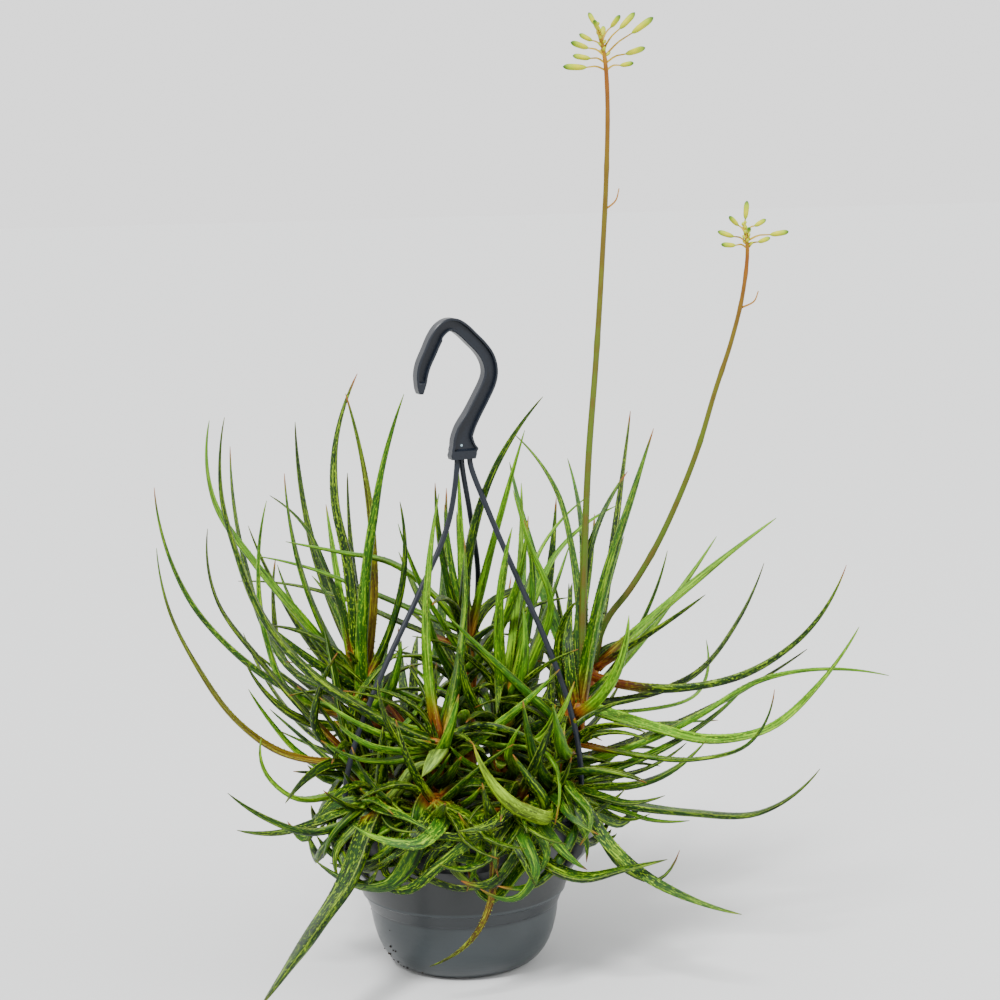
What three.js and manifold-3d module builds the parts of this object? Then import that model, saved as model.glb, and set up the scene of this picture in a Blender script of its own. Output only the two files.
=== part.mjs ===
// A spider aloe in its hanging pot: thirteen heads of long, toothed leaves and two flower stalks grow from
// one pot of soil, and three moulded wires run from the pot's lugs up to a plastic hook.
// The pot stands on its flat base. Millimetres, +Z up, the origin at the middle of the base's underside.
import * as THREE from "three";
import { mergeVertices } from "three/addons/utils/BufferGeometryUtils.js";
import Module from "manifold-3d";

const wasm = await Module();
wasm.setup();

// Pot: a bowl, a belt, a flared collar and an upright rim
const RIM_RADIUS = 75;
const POT_HEIGHT = 99.4;
const COLLAR_HEIGHT = 76;
const STEP_RADIUS = 61;
const STEP_HEIGHT = 45;
const BELT_RADIUS = 57;
const BELT_HEIGHT = 37;
const BASE_RADIUS = 38;
const BOWL_SWELL = 16;
const BOWL_HEEL = 5;
const ROUNDING = 0.8;
const LEDGE = 0.6;
const LEDGE_HEIGHT = 1.2;
const BEAD = 1.2;
const BEAD_HEIGHT = 2.6;
const RIM_LEAN = 0.2;
const WALL = 1.8;
const POT_SIDES = 24;
const DRAIN_RADIUS = 4;
const DRAIN_CIRCLE = 25;
const DRAIN_COUNT = 5;
const DRAIN_SIDES = 10;
const SOIL_HEIGHT = 88;
const SOIL_CROWN = 2;
const SOIL_EDGE = 9;
const CLEARANCE = 0.3;

// Hanger: three wires, a lug for each on the rim, and the hook, which is turned a little to the right
const WIRE_RADIUS = 1.7;
const WIRE_SIDES = 6;
const WIRE_STEPS = 15;
const LUG_RADIUS = 80;
const LUG_WIDTH = 12;
const LUG_OUT = 84;
const LUG_TOP = 98;
const LUG_FLOOR = 58;
const LUG_SOCKET = 12;
const LUG_SUNK = 1;
const LUG_SWELL = 0.6;
const LUG_FACE = 14;
const LUG_CHIN = 22;
const LUG_CHIN_IN = 2;
const LUG_HEEL = 5;
const LUG_ANGLES = { left: 212, right: 332, back: 92 };
const HOOK_DEPTH = 8;
const HOOK_RIM = 1.7;
const HOOK_WEB = 3;
const HOOK_X = 7;
const HOOK_FOOT = 306;
const HOOK_TURN = 20;
const HOOK_STEPS = 24;
const RECESS_START = 0.09;
const RECESS_END = 0.88;
const RECESS_STEPS = 18;
const SOCKET_DEPTH = 5;

// Flower stalks, buds and bracts
const STALK_SIDES = 6;
const STALK_STEPS = 13;
const BUD_RADIUS = 1.6;
const BUD_STEM_RADIUS = 0.6;
const BUD_FATTEST = 0.6;
const BUD_RISE = 1.5;
const BUD_SIDES = 4;
const BRACT_LENGTH = 15;
const BRACT_ROOT = 0.8;
const BRACT_TIP = 0.35;
const BRACT_CURL = 3;

// Leaves: CLASP is how much wider the root is, and KEEL how deep a leaf is for its half width
const TOOTH = 1.2;
const TOOTH_BASE = 1.6;
const TOOTH_LEAN = 0.2;
const TIP_HALF = 0.4;
const TAPER = 2.2;
const CLASP = 0.3;
const CLASP_FADE = 6;
const KEEL = 1.2;
const LEAST_KEEL = 0.6;
const ROLL = 70;
const RING_SPACING = 42;
const LEAST_STRETCHES = 3;
const MOST_STRETCHES = 6;

// Leaves that are added by rule: half widths, how low they start on the stem, and how their lines wander
const FILL_HALF = 3;
const FILL_HALF_MORE = 1.6;
const FILL_START = 0.35;
const FILL_STRAY = 14;
const FILL_BEND = 34;
const FILL_SAG = 0.7;
const SEEDS_A_HEAD = 40;
const FILL_SEED = 20;

// Stems: the knee is a share of the way out and up
const STEM_RADIUS = 5.2;
const STEM_SWELL = 0.6;
const STEM_SUNK = 22;
const STEM_SIDES = 6;
const STEM_STEPS = 3;
const KNEE_OUT = 0.35;
const KNEE_UP = 0.45;

// Bending clear
const ROUNDS = 150;
const EASED_ROUNDS = 90;
const POT_PUSH = 4;
const HEAD_GAP = 1.0;
const LEAF_GAP = 0.4;
const LEAF_ROOM = 0.6;
const STEM_ROOM = 0.8;
const LUG_ROOM = 1;
const RIM_ROOM = 2;
const RIM_MIDDLE = 0.4;
const RIM_ROUND = 1.6;
const SAME_HEAD = 0.8;
const ROOT_ZONE = 30;
const STIFF_ROOT = 0.12;
const SWING = 1.5;
const EASE = 0.3;
const POT_SPOTS = 4;

// The share of a turn from each leaf of a head to the next
const GOLDEN = 1.618;

const MATERIALS = {
  pot: new THREE.MeshStandardMaterial({ color: 0x454e55, roughness: 0.5, metalness: 0 }),
  hook: new THREE.MeshStandardMaterial({ color: 0x3a4550, roughness: 0.45, metalness: 0 }),
  soil: new THREE.MeshStandardMaterial({ color: 0x2d211a, roughness: 1, metalness: 0 }),
  leaf: new THREE.MeshStandardMaterial({ color: 0x4f7a24, roughness: 0.5, metalness: 0 }),
  stalk: new THREE.MeshStandardMaterial({ color: 0x84802a, roughness: 0.6, metalness: 0 }),
};

const part = new THREE.Group();

// The closed mesh as a solid
function solid(geometry) {
  const bare = geometry.clone();
  bare.deleteAttribute("normal");
  bare.deleteAttribute("uv");
  const merged = mergeVertices(bare, 1e-4);
  return new wasm.Manifold(
    new wasm.Mesh({
      numProp: 3,
      vertProperties: merged.attributes.position.array,
      triVerts: new Uint32Array(merged.index.array),
    }),
  );
}

// The solid as a named mesh of the part
function addPart(name, shape, material) {
  const mesh = shape.getMesh();
  const geometry = new THREE.BufferGeometry();
  geometry.setAttribute("position", new THREE.BufferAttribute(mesh.vertProperties, 3));
  geometry.setIndex(new THREE.BufferAttribute(mesh.triVerts, 1));
  geometry.computeVertexNormals();
  const piece = new THREE.Mesh(geometry, material);
  piece.name = name;
  part.add(piece);
}

const joined = (solids) => solids.reduce((all, one) => all.add(one));
const point = (xyz) => new THREE.Vector3(...xyz);
const radians = THREE.MathUtils.degToRad;

// A turned shape from its outline of [radius, height], with the Z axis as its axis
function turned(outline, sides) {
  const points = outline.map(([r, z]) => new THREE.Vector2(r, z));
  return new THREE.LatheGeometry(points, sides).rotateX(Math.PI / 2);
}

// A shape that stands on the Y axis from 0 to 1 is laid along a curve. across is what its X axis turns to
function alongCurve(geometry, curve, across) {
  const position = geometry.attributes.position;
  for (let i = 0; i < position.count; i++) {
    const share = THREE.MathUtils.clamp(position.getY(i), 0, 1);
    const tangent = curve.getTangentAt(share);
    const side = across.clone().addScaledVector(tangent, -across.dot(tangent)).normalize();
    const up = new THREE.Vector3().crossVectors(side, tangent);
    const place = curve.getPointAt(share);
    place.addScaledVector(side, position.getX(i)).addScaledVector(up, position.getZ(i));
    position.setXYZ(i, place.x, place.y, place.z);
  }
  return geometry;
}

// A round rod along a curve that may narrow towards its far end
function rod(curve, radius, farRadius, sides, steps) {
  const straight = new THREE.CylinderGeometry(farRadius, radius, 1, sides, steps).translate(0, 0.5, 0);
  return solid(alongCurve(straight, curve, new THREE.Vector3(0, 1, 0.02)));
}

// The same draw from 0 to 1 for the same number, so the plant grows alike every time
function draw(number) {
  const wave = Math.sin(number * 12.9898 + 4.1414) * 43758.5453;
  return wave - Math.floor(wave);
}

// The bowl of the pot, from the base up to the belt, drawn in by inset
function bowlOutline(inset, steps) {
  const bowl = new THREE.QuadraticBezierCurve(
    new THREE.Vector2(BASE_RADIUS - inset * 0.4, inset),
    new THREE.Vector2(BASE_RADIUS + BOWL_SWELL - inset, inset * 0.6 + BOWL_HEEL),
    new THREE.Vector2(BELT_RADIUS - inset, BELT_HEIGHT),
  );
  return bowl.getPoints(steps).map((p) => [p.x, p.y]);
}

const collarOutside = [
  [BELT_RADIUS + ROUNDING, BELT_HEIGHT + ROUNDING],
  [STEP_RADIUS - ROUNDING, STEP_HEIGHT - ROUNDING],
  [STEP_RADIUS + LEDGE, STEP_HEIGHT],
  [STEP_RADIUS + LEDGE, STEP_HEIGHT + LEDGE_HEIGHT],
  [RIM_RADIUS - RIM_LEAN, COLLAR_HEIGHT],
  [RIM_RADIUS + 2 * RIM_LEAN, POT_HEIGHT - BEAD_HEIGHT - ROUNDING],
  [RIM_RADIUS + BEAD, POT_HEIGHT - BEAD_HEIGHT],
  [RIM_RADIUS + BEAD, POT_HEIGHT - LEDGE],
  [RIM_RADIUS + RIM_LEAN, POT_HEIGHT],
];

// The inside of the pot over its bowl, from the top down, drawn in by inset
function collarInside(inset) {
  return [
    [RIM_RADIUS - inset, POT_HEIGHT],
    [RIM_RADIUS - inset, COLLAR_HEIGHT + 1],
    [STEP_RADIUS - inset, STEP_HEIGHT + 1],
  ];
}

// The lug on the collar that a wire's end is pushed into
function lug(angle) {
  const outline = new THREE.Shape([
    new THREE.Vector2(RIM_RADIUS - LUG_SUNK, LUG_TOP),
    new THREE.Vector2(LUG_OUT, LUG_TOP),
    new THREE.Vector2(LUG_OUT + LUG_SWELL, LUG_TOP - LUG_FACE),
    new THREE.Vector2(LUG_OUT - LUG_CHIN_IN, LUG_TOP - LUG_CHIN),
    new THREE.Vector2(STEP_RADIUS + LUG_HEEL, LUG_FLOOR),
    new THREE.Vector2(RIM_RADIUS - LUG_SUNK, COLLAR_HEIGHT),
  ]);
  const block = new THREE.ExtrudeGeometry(outline, { depth: LUG_WIDTH, bevelEnabled: false });
  block.translate(0, 0, -LUG_WIDTH / 2).rotateX(Math.PI / 2).rotateZ(radians(angle));
  return solid(block);
}

function upright(x, y, floor, top, radius, sides) {
  const post = new THREE.CylinderGeometry(radius, radius, top - floor, sides);
  return solid(post.rotateX(Math.PI / 2).translate(x, y, (floor + top) / 2));
}

function aroundAxis(angle, radius) {
  return [radius * Math.cos(radians(angle)), radius * Math.sin(radians(angle))];
}

function makePot() {
  const inside = [...collarInside(WALL), ...bowlOutline(WALL, 2).reverse()];
  const outline = [[0, 0], ...bowlOutline(0, 4), ...collarOutside, ...inside, [0, WALL]];
  let pot = solid(turned(outline, POT_SIDES));
  for (const angle of Object.values(LUG_ANGLES)) {
    const [x, y] = aroundAxis(angle, LUG_RADIUS);
    const socket = upright(x, y, LUG_TOP - LUG_SOCKET, LUG_TOP + 1, WIRE_RADIUS + CLEARANCE, WIRE_SIDES);
    pot = pot.add(lug(angle)).subtract(socket);
  }
  for (let i = 0; i < DRAIN_COUNT; i++) {
    const [x, y] = aroundAxis((i * 360) / DRAIN_COUNT, DRAIN_CIRCLE);
    pot = pot.subtract(upright(x, y, -1, WALL + 1, DRAIN_RADIUS, DRAIN_SIDES));
  }
  return pot;
}

// The hook's middle line from tip to foot: how far right of the foot, the height, and the half width
const hookLine = new THREE.CatmullRomCurve3(
  [
    [-26, 346, 1.2],
    [-25.9, 349.2, 2.3],
    [-25.5, 353, 3.1],
    [-25, 357.5, 3.6],
    [-23.4, 363, 3.9],
    [-19.8, 370.2, 4],
    [-15.8, 378, 4.1],
    [-12, 382.7, 4.2],
    [-7.5, 385.2, 4.1],
    [-3, 384.8, 4.1],
    [1.5, 381.8, 4.2],
    [6.6, 376.8, 4.2],
    [12, 371.2, 4.2],
    [15.8, 365.6, 4.3],
    [17.6, 360, 4.3],
    [17.7, 355, 4.3],
    [16.2, 350, 4.4],
    [11.6, 341.5, 4.5],
    [5.9, 331.9, 4.6],
    [1.6, 324.7, 5.3],
    [-0.6, 319.2, 6],
    [-0.5, 315.4, 6.9],
    [0.2, 311.8, 8.3],
    [-0.6, 308.8, 8.2],
    [-0.8, HOOK_FOOT, 7.4],
  ].map(point),
);

// A stretch of the hook's outline, drawn in by inset on both sides
function hookShape(from, to, inset, steps) {
  const near = [];
  const far = [];
  for (let i = 0; i <= steps; i++) {
    const share = from + ((to - from) * i) / steps;
    const at = hookLine.getPoint(share);
    const along = hookLine.getTangent(share);
    const across = new THREE.Vector2(-along.y, along.x).normalize();
    const half = at.z - inset;
    near.push(new THREE.Vector2(at.x + across.x * half, at.y + across.y * half));
    far.unshift(new THREE.Vector2(at.x - across.x * half, at.y - across.y * half));
  }
  return new THREE.Shape([...near, ...far]);
}

function slab(shape, depth, middle) {
  const block = new THREE.ExtrudeGeometry(shape, { depth, bevelEnabled: false });
  return solid(block.rotateX(Math.PI / 2).translate(0, middle + depth / 2, 0));
}

function makeHook() {
  let hook = slab(hookShape(0, 1, 0, HOOK_STEPS), HOOK_DEPTH, 0);
  const recess = hookShape(RECESS_START, RECESS_END, HOOK_RIM, RECESS_STEPS);
  for (const side of [-1, 1]) {
    hook = hook.subtract(slab(recess, HOOK_DEPTH, side * (HOOK_WEB / 2 + HOOK_DEPTH / 2)));
  }
  hook = hook.rotate([0, 0, HOOK_TURN]).translate([HOOK_X, 0, 0]);
  for (const wire of Object.values(wires)) {
    hook = hook.subtract(wireRod(wire, WIRE_RADIUS + CLEARANCE));
  }
  return hook;
}

// The wires: where each starts in the hook's foot, as [along the strip, towards its back], how far out it
// has swung at each height, and a side bow
const wires = {
  left: {
    top: [-4.4, -1],
    swing: [[0.09, 268], [0.36, 227], [0.63, 190], [0.88, 150], [0.985, 124], [1, 100]],
    bow: 0,
  },
  right: {
    top: [3.9, -1],
    swing: [[0.16, 276], [0.42, 238], [0.68, 202], [0.88, 168], [0.985, 136], [1, 100]],
    bow: 0,
  },
  back: {
    top: [-0.4, 1.6],
    swing: [[0.12, 272], [0.39, 232], [0.66, 196], [0.88, 160], [0.985, 130], [1, 100]],
    bow: 12,
  },
};

for (const [name, wire] of Object.entries(wires)) {
  const [endX, endY] = aroundAxis(LUG_ANGLES[name], LUG_RADIUS);
  const [along, behind] = wire.top;
  const turn = radians(HOOK_TURN);
  const startX = HOOK_X + along * Math.cos(turn) - behind * Math.sin(turn);
  const startY = along * Math.sin(turn) + behind * Math.cos(turn);
  const points = [
    [startX, startY, HOOK_FOOT + SOCKET_DEPTH],
    [startX, startY, HOOK_FOOT - 3],
  ];
  for (const [share, height] of wire.swing) {
    const bow = wire.bow * 4 * share * (1 - share);
    points.push([startX + (endX - startX) * share + bow, startY + (endY - startY) * share, height]);
  }
  points.push([endX, endY, LUG_TOP - LUG_SOCKET + CLEARANCE]);
  wire.curve = new THREE.CatmullRomCurve3(points.map(point));
}

function wireRod(wire, radius) {
  return rod(wire.curve, radius, radius, WIRE_SIDES, WIRE_STEPS);
}

// Flower stalks: the stalk's line, its half width at both ends, and its buds as
// [share of the way up, length of the bud's own stem, bud length, way it points]
const stalks = {
  tall: {
    head: "right",
    line: [
      [71, -23, 146],
      [74, -16, 200],
      [77, -8, 250],
      [81, 0, 305],
      [87, 10, 360],
      [92, 17, 415],
      [96, 20, 470],
      [97.5, 21, 515],
      [96, 21, 540],
      [92, 21, 556],
    ],
    radius: 2.4,
    farRadius: 1.2,
    buds: [
      [0.935, 12, 14, [-1, -0.2, 0.05]],
      [0.945, 10, 11, [-1, 0.5, 0.2]],
      [0.955, 12, 12, [-0.9, -0.5, 0.3]],
      [0.965, 8, 8, [-0.9, 0.2, 0.5]],
      [0.935, 9, 8, [1, -0.4, 0.15]],
      [0.945, 14, 13, [1, 0.4, 0.3]],
      [0.955, 20, 15, [1, -0.1, 0.7]],
      [0.965, 15, 13, [0.9, 0.3, 0.9]],
      [0.975, 10, 9, [0.7, -0.6, 0.9]],
      [0.985, 6, 8, [-0.5, 0.4, 1]],
      [0.98, 7, 8, [-0.3, -0.8, 0.6]],
      [0.97, 9, 9, [0.1, 0.9, 0.6]],
    ],
  },
  short: {
    head: "right_back",
    line: [
      [83, 28, 160],
      [86, 29, 186],
      [93, 30, 202],
      [106, 31, 218],
      [122, 32, 243],
      [136, 33, 271],
      [149, 33, 303],
      [160, 33, 338],
      [170, 32, 368],
      [177, 31, 396],
      [180, 30, 424],
      [178, 30, 438],
    ],
    radius: 2.2,
    farRadius: 1.1,
    buds: [
      [0.95, 8, 9, [-1, -0.3, 0.1]],
      [0.96, 9, 10, [-1, 0.4, 0.35]],
      [0.975, 8, 8, [-0.8, -0.4, 0.8]],
      [0.95, 8, 8, [1, 0.4, 0.3]],
      [0.965, 14, 11, [1, -0.2, 0.15]],
      [0.98, 7, 8, [0.8, 0.3, 0.4]],
      [0.99, 5, 10, [0.1, 0, 1]],
      [0.97, 7, 7, [0, -1, 0.4]],
      [0.96, 8, 8, [0.1, 1, 0.3]],
    ],
  },
};
for (const stalk of Object.values(stalks)) {
  stalk.curve = new THREE.CatmullRomCurve3(stalk.line.map(point));
}

// A bud on its own short stem, which leaves the stalk's middle and rises a little on the way
function bud(stalk, [share, stem, length, way]) {
  const root = stalk.curve.getPointAt(share);
  const out = point(way).normalize();
  const neck = root.clone().addScaledVector(out, stem).add(point([0, 0, BUD_RISE]));
  const tip = neck.clone().addScaledVector(out, length);
  const middle = root.clone().lerp(neck, 0.5).add(point([0, 0, BUD_RISE]));
  const line = new THREE.CatmullRomCurve3([root, middle, neck, tip]);
  const swell = stem / (stem + length);
  const outline = [
    [0, 0],
    [BUD_STEM_RADIUS, 0],
    [BUD_STEM_RADIUS, swell],
    [BUD_RADIUS, swell + (1 - swell) * BUD_FATTEST],
    [0, 1],
  ];
  const body = new THREE.LatheGeometry(outline.map(([r, y]) => new THREE.Vector2(r, y)), BUD_SIDES);
  return solid(alongCurve(body, line, new THREE.Vector3(0.3, 0.2, 1)));
}

// A dried bract: a thin curled blade on the stalk
function bract(stalk, share, way) {
  const root = stalk.curve.getPointAt(share);
  const tip = root.clone().add(point(way).normalize().multiplyScalar(BRACT_LENGTH));
  const middle = root.clone().lerp(tip, 0.5).add(point([way[0] * BRACT_CURL, 0, -1]));
  const blade = new THREE.CylinderGeometry(BRACT_TIP, BRACT_ROOT, 1, 3, 2).translate(0, 0.5, 0);
  const line = new THREE.CatmullRomCurve3([root, middle, tip]);
  return solid(alongCurve(blade, line, new THREE.Vector3(0, 1, 0)));
}

function stalkRod(stalk, extra) {
  return rod(stalk.curve, stalk.radius + extra, stalk.farRadius + extra, STALK_SIDES, STALK_STEPS);
}

function makeStalk(stalk, bractShare, bractWay) {
  const buds = stalk.buds.map((one) => bud(stalk, one));
  return joined([stalkRod(stalk, 0), ...buds, bract(stalk, bractShare, bractWay)]);
}

// Heads: where each short stem stands in the soil, where it ends, and its leaves. A leaf is
// [share of the stem's height, half width at the root, point on the leaf ..., tip].
// fill adds leaves by rule: [how many, first and last bearing, shortest, longest, lowest and highest lift]
const heads = {
  left_back: {
    foot: [-48, 14],
    top: [-62, 18, 172],
    leaves: [
      [0.75, 3.6, [-114, 21, 174], [-160, 24, 223], [-179, 28, 290]],
      [1.0, 3.2, [-109, 35, 229], [-141, 47, 273], [-144, 60, 326]],
      [0.9, 2.9, [-105, 36, 180], [-129, 62, 238], [-138, 90, 306]],
      [0.75, 3.6, [-101, 12, 167], [-115, 1, 231], [-109, -8, 286]],
      [1.0, 2.1, [-70, 30, 215], [-94, 61, 265], [-113, 75, 278]],
      [1.0, 2.8, [-70, 34, 215], [-80, 60, 274]],
      [0.9, 4.0, [-67, 27, 242], [-75, 33, 297], [-59, 40, 354]],
      [0.85, 4.0, [-47, 13, 250], [-59, 10, 344]],
      [0.9, 4.6, [-56, 5, 234], [-43, -7, 305], [-29, -15, 348]],
      [1.0, 2.3, [-72, 42, 205], [-89, 70, 225]],
      [0.95, 2.6, [-88, 36, 200], [-104, 55, 237]],
      [0.7, 2.8, [-107, 52, 176], [-115, 76, 203], [-115, 100, 231]],
      [0.9, 2.6, [-33, 5, 225], [-31, -10, 283]],
      [0.7, 3.6, [54, -48, 140], [53, -62, 126], [49, -74, 106]],
    ],
    fill: [5, 200, 340, 70, 110, 10, 60],
  },
  left: {
    foot: [-50, -6],
    top: [-62, -9, 128],
    leaves: [
      [1.0, 3.4, [-118, -14, 143], [-160, -23, 207], [-172, -30, 263]],
      [1.0, 2.8, [-115, -4, 185], [-146, -2, 232], [-148, 0, 267]],
      [0.6, 2.5, [-93, 3, 127], [-115, 13, 149], [-127, 20, 166]],
      [0.7, 3.2, [-95, -30, 112], [-114, -38, 131], [-115, -45, 152]],
      [0.8, 2.2, [-80, -28, 126], [-97, -50, 133]],
      [0.9, 3.0, [-84, -28, 151], [-82, -34, 174], [-70, -40, 200]],
    ],
    fill: [5, 20, 330, 60, 100, 15, 70],
  },
  left_front: {
    foot: [-12, -26],
    top: [-14, -42, 148],
    leaves: [
      [1.0, 4.3, [-100, -50, 196], [-135, -62, 272], [-136, -70, 332]],
      [0.95, 4, [-52, -68, 145], [-80, -84, 161]],
      [0.85, 5.1, [-8, -62, 136], [-13, -70, 118]],
      [0.9, 4.8, [-4, -62, 152], [8, -72, 176]],
      [1.0, 3.7, [-22, -34, 214], [-15, -26, 290]],
      [0.9, 4.2, [2, -30, 200], [8, -24, 262]],
      [0.95, 3.5, [-43, -58, 155], [-60, -66, 164], [-78, -72, 178]],
      [0.85, 3.7, [-30, -56, 142], [-52, -66, 144], [-76, -74, 157]],
      [0.9, 3.3, [-24, -64, 152], [-37, -70, 159]],
      [0.35, 4.2, [4, -50, 120], [22, -66, 124]],
      [0.3, 4.2, [-2, -52, 112], [6, -74, 126]],
    ],
    fill: [6, 130, 470, 50, 100, 10, 60],
  },
  centre_back: {
    foot: [5, 30],
    top: [6, 30, 196],
    leaves: [
      [1.0, 3.0, [-33, 16, 240], [-68, 7, 251], [-100, 0, 259]],
      [1.0, 2.2, [-46, 33, 217], [-85, 37, 232], [-122, 40, 240]],
      [0.9, 2.2, [-44, 51, 203], [-84, 71, 216], [-137, 95, 218]],
      [0.95, 3.2, [21, 24, 259], [37, 15, 323]],
      [0.85, 3.2, [14, 8, 275], [52, -10, 345]],
      [1.0, 3.2, [-5, 15, 237], [-10, 0, 292]],
      [1.0, 2.6, [-2, 42, 235], [-5, 50, 271]],
    ],
    fill: [8, 60, 330, 70, 140, 15, 75],
  },
  centre: {
    foot: [24, -2],
    top: [27, -5, 162],
    leaves: [
      [0.9, 3.2, [38, -20, 168], [19, -38, 191]],
      [0.6, 3.2, [45, -30, 144], [54, -55, 169]],
      [0.95, 2.8, [45, -32, 184], [70, -50, 200]],
      [1.0, 2.5, [67, 24, 251], [100, 40, 268]],
      [1.0, 2.5, [55, 35, 250], [85, 60, 273]],
      [1.0, 2.6, [35, 14, 242], [35, 30, 287]],
      [0.9, 2.6, [56, -17, 223], [43, -24, 260], [35, -30, 291]],
      [0.9, 3.4, [26, -22, 225], [34, -35, 270]],
      [0.95, 3.6, [42, -13, 222], [38, -20, 272]],
      [0.8, 3.4, [49, -50, 142], [59, -58, 158], [68, -60, 176]],
      [0.35, 3.8, [14, -30, 118], [0, -52, 126], [-10, -66, 136]],
      [0.35, 4.0, [30, -32, 120], [24, -58, 132], [30, -70, 150]],
    ],
    fill: [7, 150, 440, 60, 120, 0, 72],
  },
  right: {
    foot: [56, -18],
    top: [72, -24, 162],
    leaves: [
      [1.0, 3.6, [123, -31, 143], [173, -38, 136], [235, -50, 200]],
      [0.5, 3.2, [122, -17, 137], [190, -3, 163], [263, 10, 154]],
      [0.8, 2.4, [119, 14, 148], [156, 50, 145]],
      [0.7, 2.6, [128, -46, 133], [162, -63, 142], [179, -80, 180]],
      [1.0, 2.5, [92, 10, 225], [104, 35, 250]],
      [0.8, 4.8, [82, -24, 225], [103, -21, 290], [115, -20, 325]],
      [1.0, 3.2, [80, -5, 245], [107, 20, 292]],
      [1.0, 2.8, [66, 12, 270], [37, 40, 316]],
      [1.0, 2.6, [78, 32, 255], [72, 60, 296]],
    ],
    fill: [4, 200, 380, 70, 120, 10, 65],
  },
  right_low: {
    foot: [46, -28],
    top: [56, -33, 118],
    leaves: [
      [0.9, 3.1, [120, 0, 130], [163, 40, 154]],
      [0.9, 4.2, [123, -37, 103], [175, -44, 100], [212, -50, 127]],
      [0.8, 2.8, [98, -55, 119], [115, -70, 123]],
      [1.0, 2.8, [110, -13, 118], [131, 0, 127]],
      [0.6, 2.4, [78, -44, 108], [95, -52, 103], [112, -60, 109]],
      [0.6, 2.4, [80, -32, 106], [111, -34, 97], [135, -35, 97]],
      [0.8, 3.6, [70, -54, 107], [88, -72, 94], [114, -74, 89]],
      [0.9, 3.6, [74, -50, 108], [94, -64, 80], [112, -66, 68], [132, -64, 78]],
      [0.9, 4.3, [68, -56, 108], [92, -72, 76], [125, -80, 54], [160, -88, 42]],
      [0.6, 3.8, [64, -58, 108], [80, -72, 94], [84, -72, 76]],
      [0.5, 3.4, [56, -60, 107], [66, -80, 94], [80, -82, 84]],
      [0.9, 4, [60, -64, 109], [72, -78, 94], [64, -86, 80]],
    ],
    fill: [4, 100, 330, 50, 75, 5, 60],
  },
  right_back: {
    foot: [56, 24],
    top: [84, 28, 172],
    leaves: [
      [0.95, 4.0, [145, 25, 161], [200, 23, 183], [235, 20, 235]],
      [1.0, 3.6, [151, 46, 223], [200, 60, 255]],
      [1.0, 2.8, [129, 10, 204], [149, 0, 220]],
      [0.75, 3.4, [141, 46, 159], [175, 62, 191], [194, 75, 224]],
      [0.7, 2.1, [149, 69, 143], [161, 110, 168]],
    ],
    fill: [5, 30, 150, 120, 180, 15, 65],
  },
  front_right: {
    foot: [26, -42],
    top: [32, -50, 116],
    leaves: [
      [0.8, 5.2, [36, -74, 109], [58, -88, 84], [89, -92, 86], [119, -88, 90]],
      [0.9, 5.9, [48, -74, 106], [38, -90, 110], [20, -96, 122], [4, -96, 150]],
      [1.0, 4.5, [46, -66, 108], [38, -78, 118], [23, -82, 136]],
      [0.8, 3.8, [22, -78, 108], [20, -90, 70], [11, -90, 44], [-16, -88, 24]],
      [0.7, 4.5, [30, -78, 108], [40, -92, 82], [30, -94, 68], [8, -94, 79]],
      [0.7, 3.3, [28, -78, 107], [40, -92, 93], [49, -90, 78]],
      [0.9, 4, [36, -78, 106], [50, -88, 98], [66, -84, 92]],
      [0.9, 3.5, [24, -70, 112], [7, -88, 109], [3, -92, 96]],
      [0.9, 4.5, [26, -80, 108], [12, -93, 98], [-8, -94, 92]],
      [0.8, 4.5, [44, -72, 109], [58, -82, 96], [74, -78, 84]],
      [0.6, 4, [38, -76, 107], [46, -90, 90], [36, -92, 76]],
      [0.7, 4.2, [30, -80, 107], [22, -93, 90], [26, -93, 75]],
    ],
    fill: [4, 160, 390, 50, 85, 5, 60],
  },
  front_left: {
    foot: [-16, -48],
    top: [-15, -54, 117],
    leaves: [
      [0.8, 6.4, [-18, -78, 109], [-26, -92, 82], [-46, -87, 67], [-81, -80, 81]],
      [0.8, 5, [-8, -79, 108], [-22, -92, 93], [-40, -87, 92], [-61, -80, 101]],
      [0.7, 3.5, [-14, -79, 106], [-14, -88, 80], [-5, -88, 69]],
      [0.9, 3.8, [0, -76, 108], [8, -90, 94], [0, -92, 82], [-5, -90, 71]],
      [0.7, 3.5, [-2, -76, 107], [5, -88, 86], [13, -88, 75]],
      [1.0, 4.2, [-6, -78, 108], [-14, -88, 98], [-28, -90, 100]],
      [0.9, 4.7, [-30, -74, 109], [-46, -84, 98], [-66, -74, 90]],
      [0.6, 4.5, [-20, -80, 108], [-34, -91, 94], [-54, -85, 84]],
      [0.8, 4.5, [6, -80, 108], [18, -93, 96], [38, -92, 88]],
      [0.6, 4.2, [-4, -80, 107], [4, -93, 90], [22, -93, 80]],
    ],
    fill: [5, 180, 390, 50, 85, 0, 60],
  },
  rim_left: {
    foot: [-42, -32],
    top: [-48, -38, 117],
    leaves: [
      [0.6, 4.4, [-68, -54, 105], [-94, -58, 102], [-136, -60, 126]],
      [0.8, 3.7, [-72, -44, 106], [-101, -38, 93], [-131, -30, 92]],
      [0.8, 7.4, [-50, -68, 110], [-61, -94, 80], [-77, -130, 60], [-98, -200, 40]],
      [0.5, 3.7, [-46, -70, 107], [-45, -86, 86], [-28, -86, 77]],
      [1.0, 3.9, [-48, -58, 116], [-42, -66, 130], [-33, -72, 137]],
      [0.9, 3.7, [-38, -70, 112], [-20, -82, 108], [-2, -90, 100]],
      [0.7, 3.4, [-40, -72, 108], [-30, -87, 101], [-14, -91, 99]],
      [0.7, 3.7, [-52, -66, 110], [-44, -82, 108], [-35, -88, 97]],
      [0.9, 4.4, [-62, -56, 109], [-76, -62, 96], [-80, -54, 80]],
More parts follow.
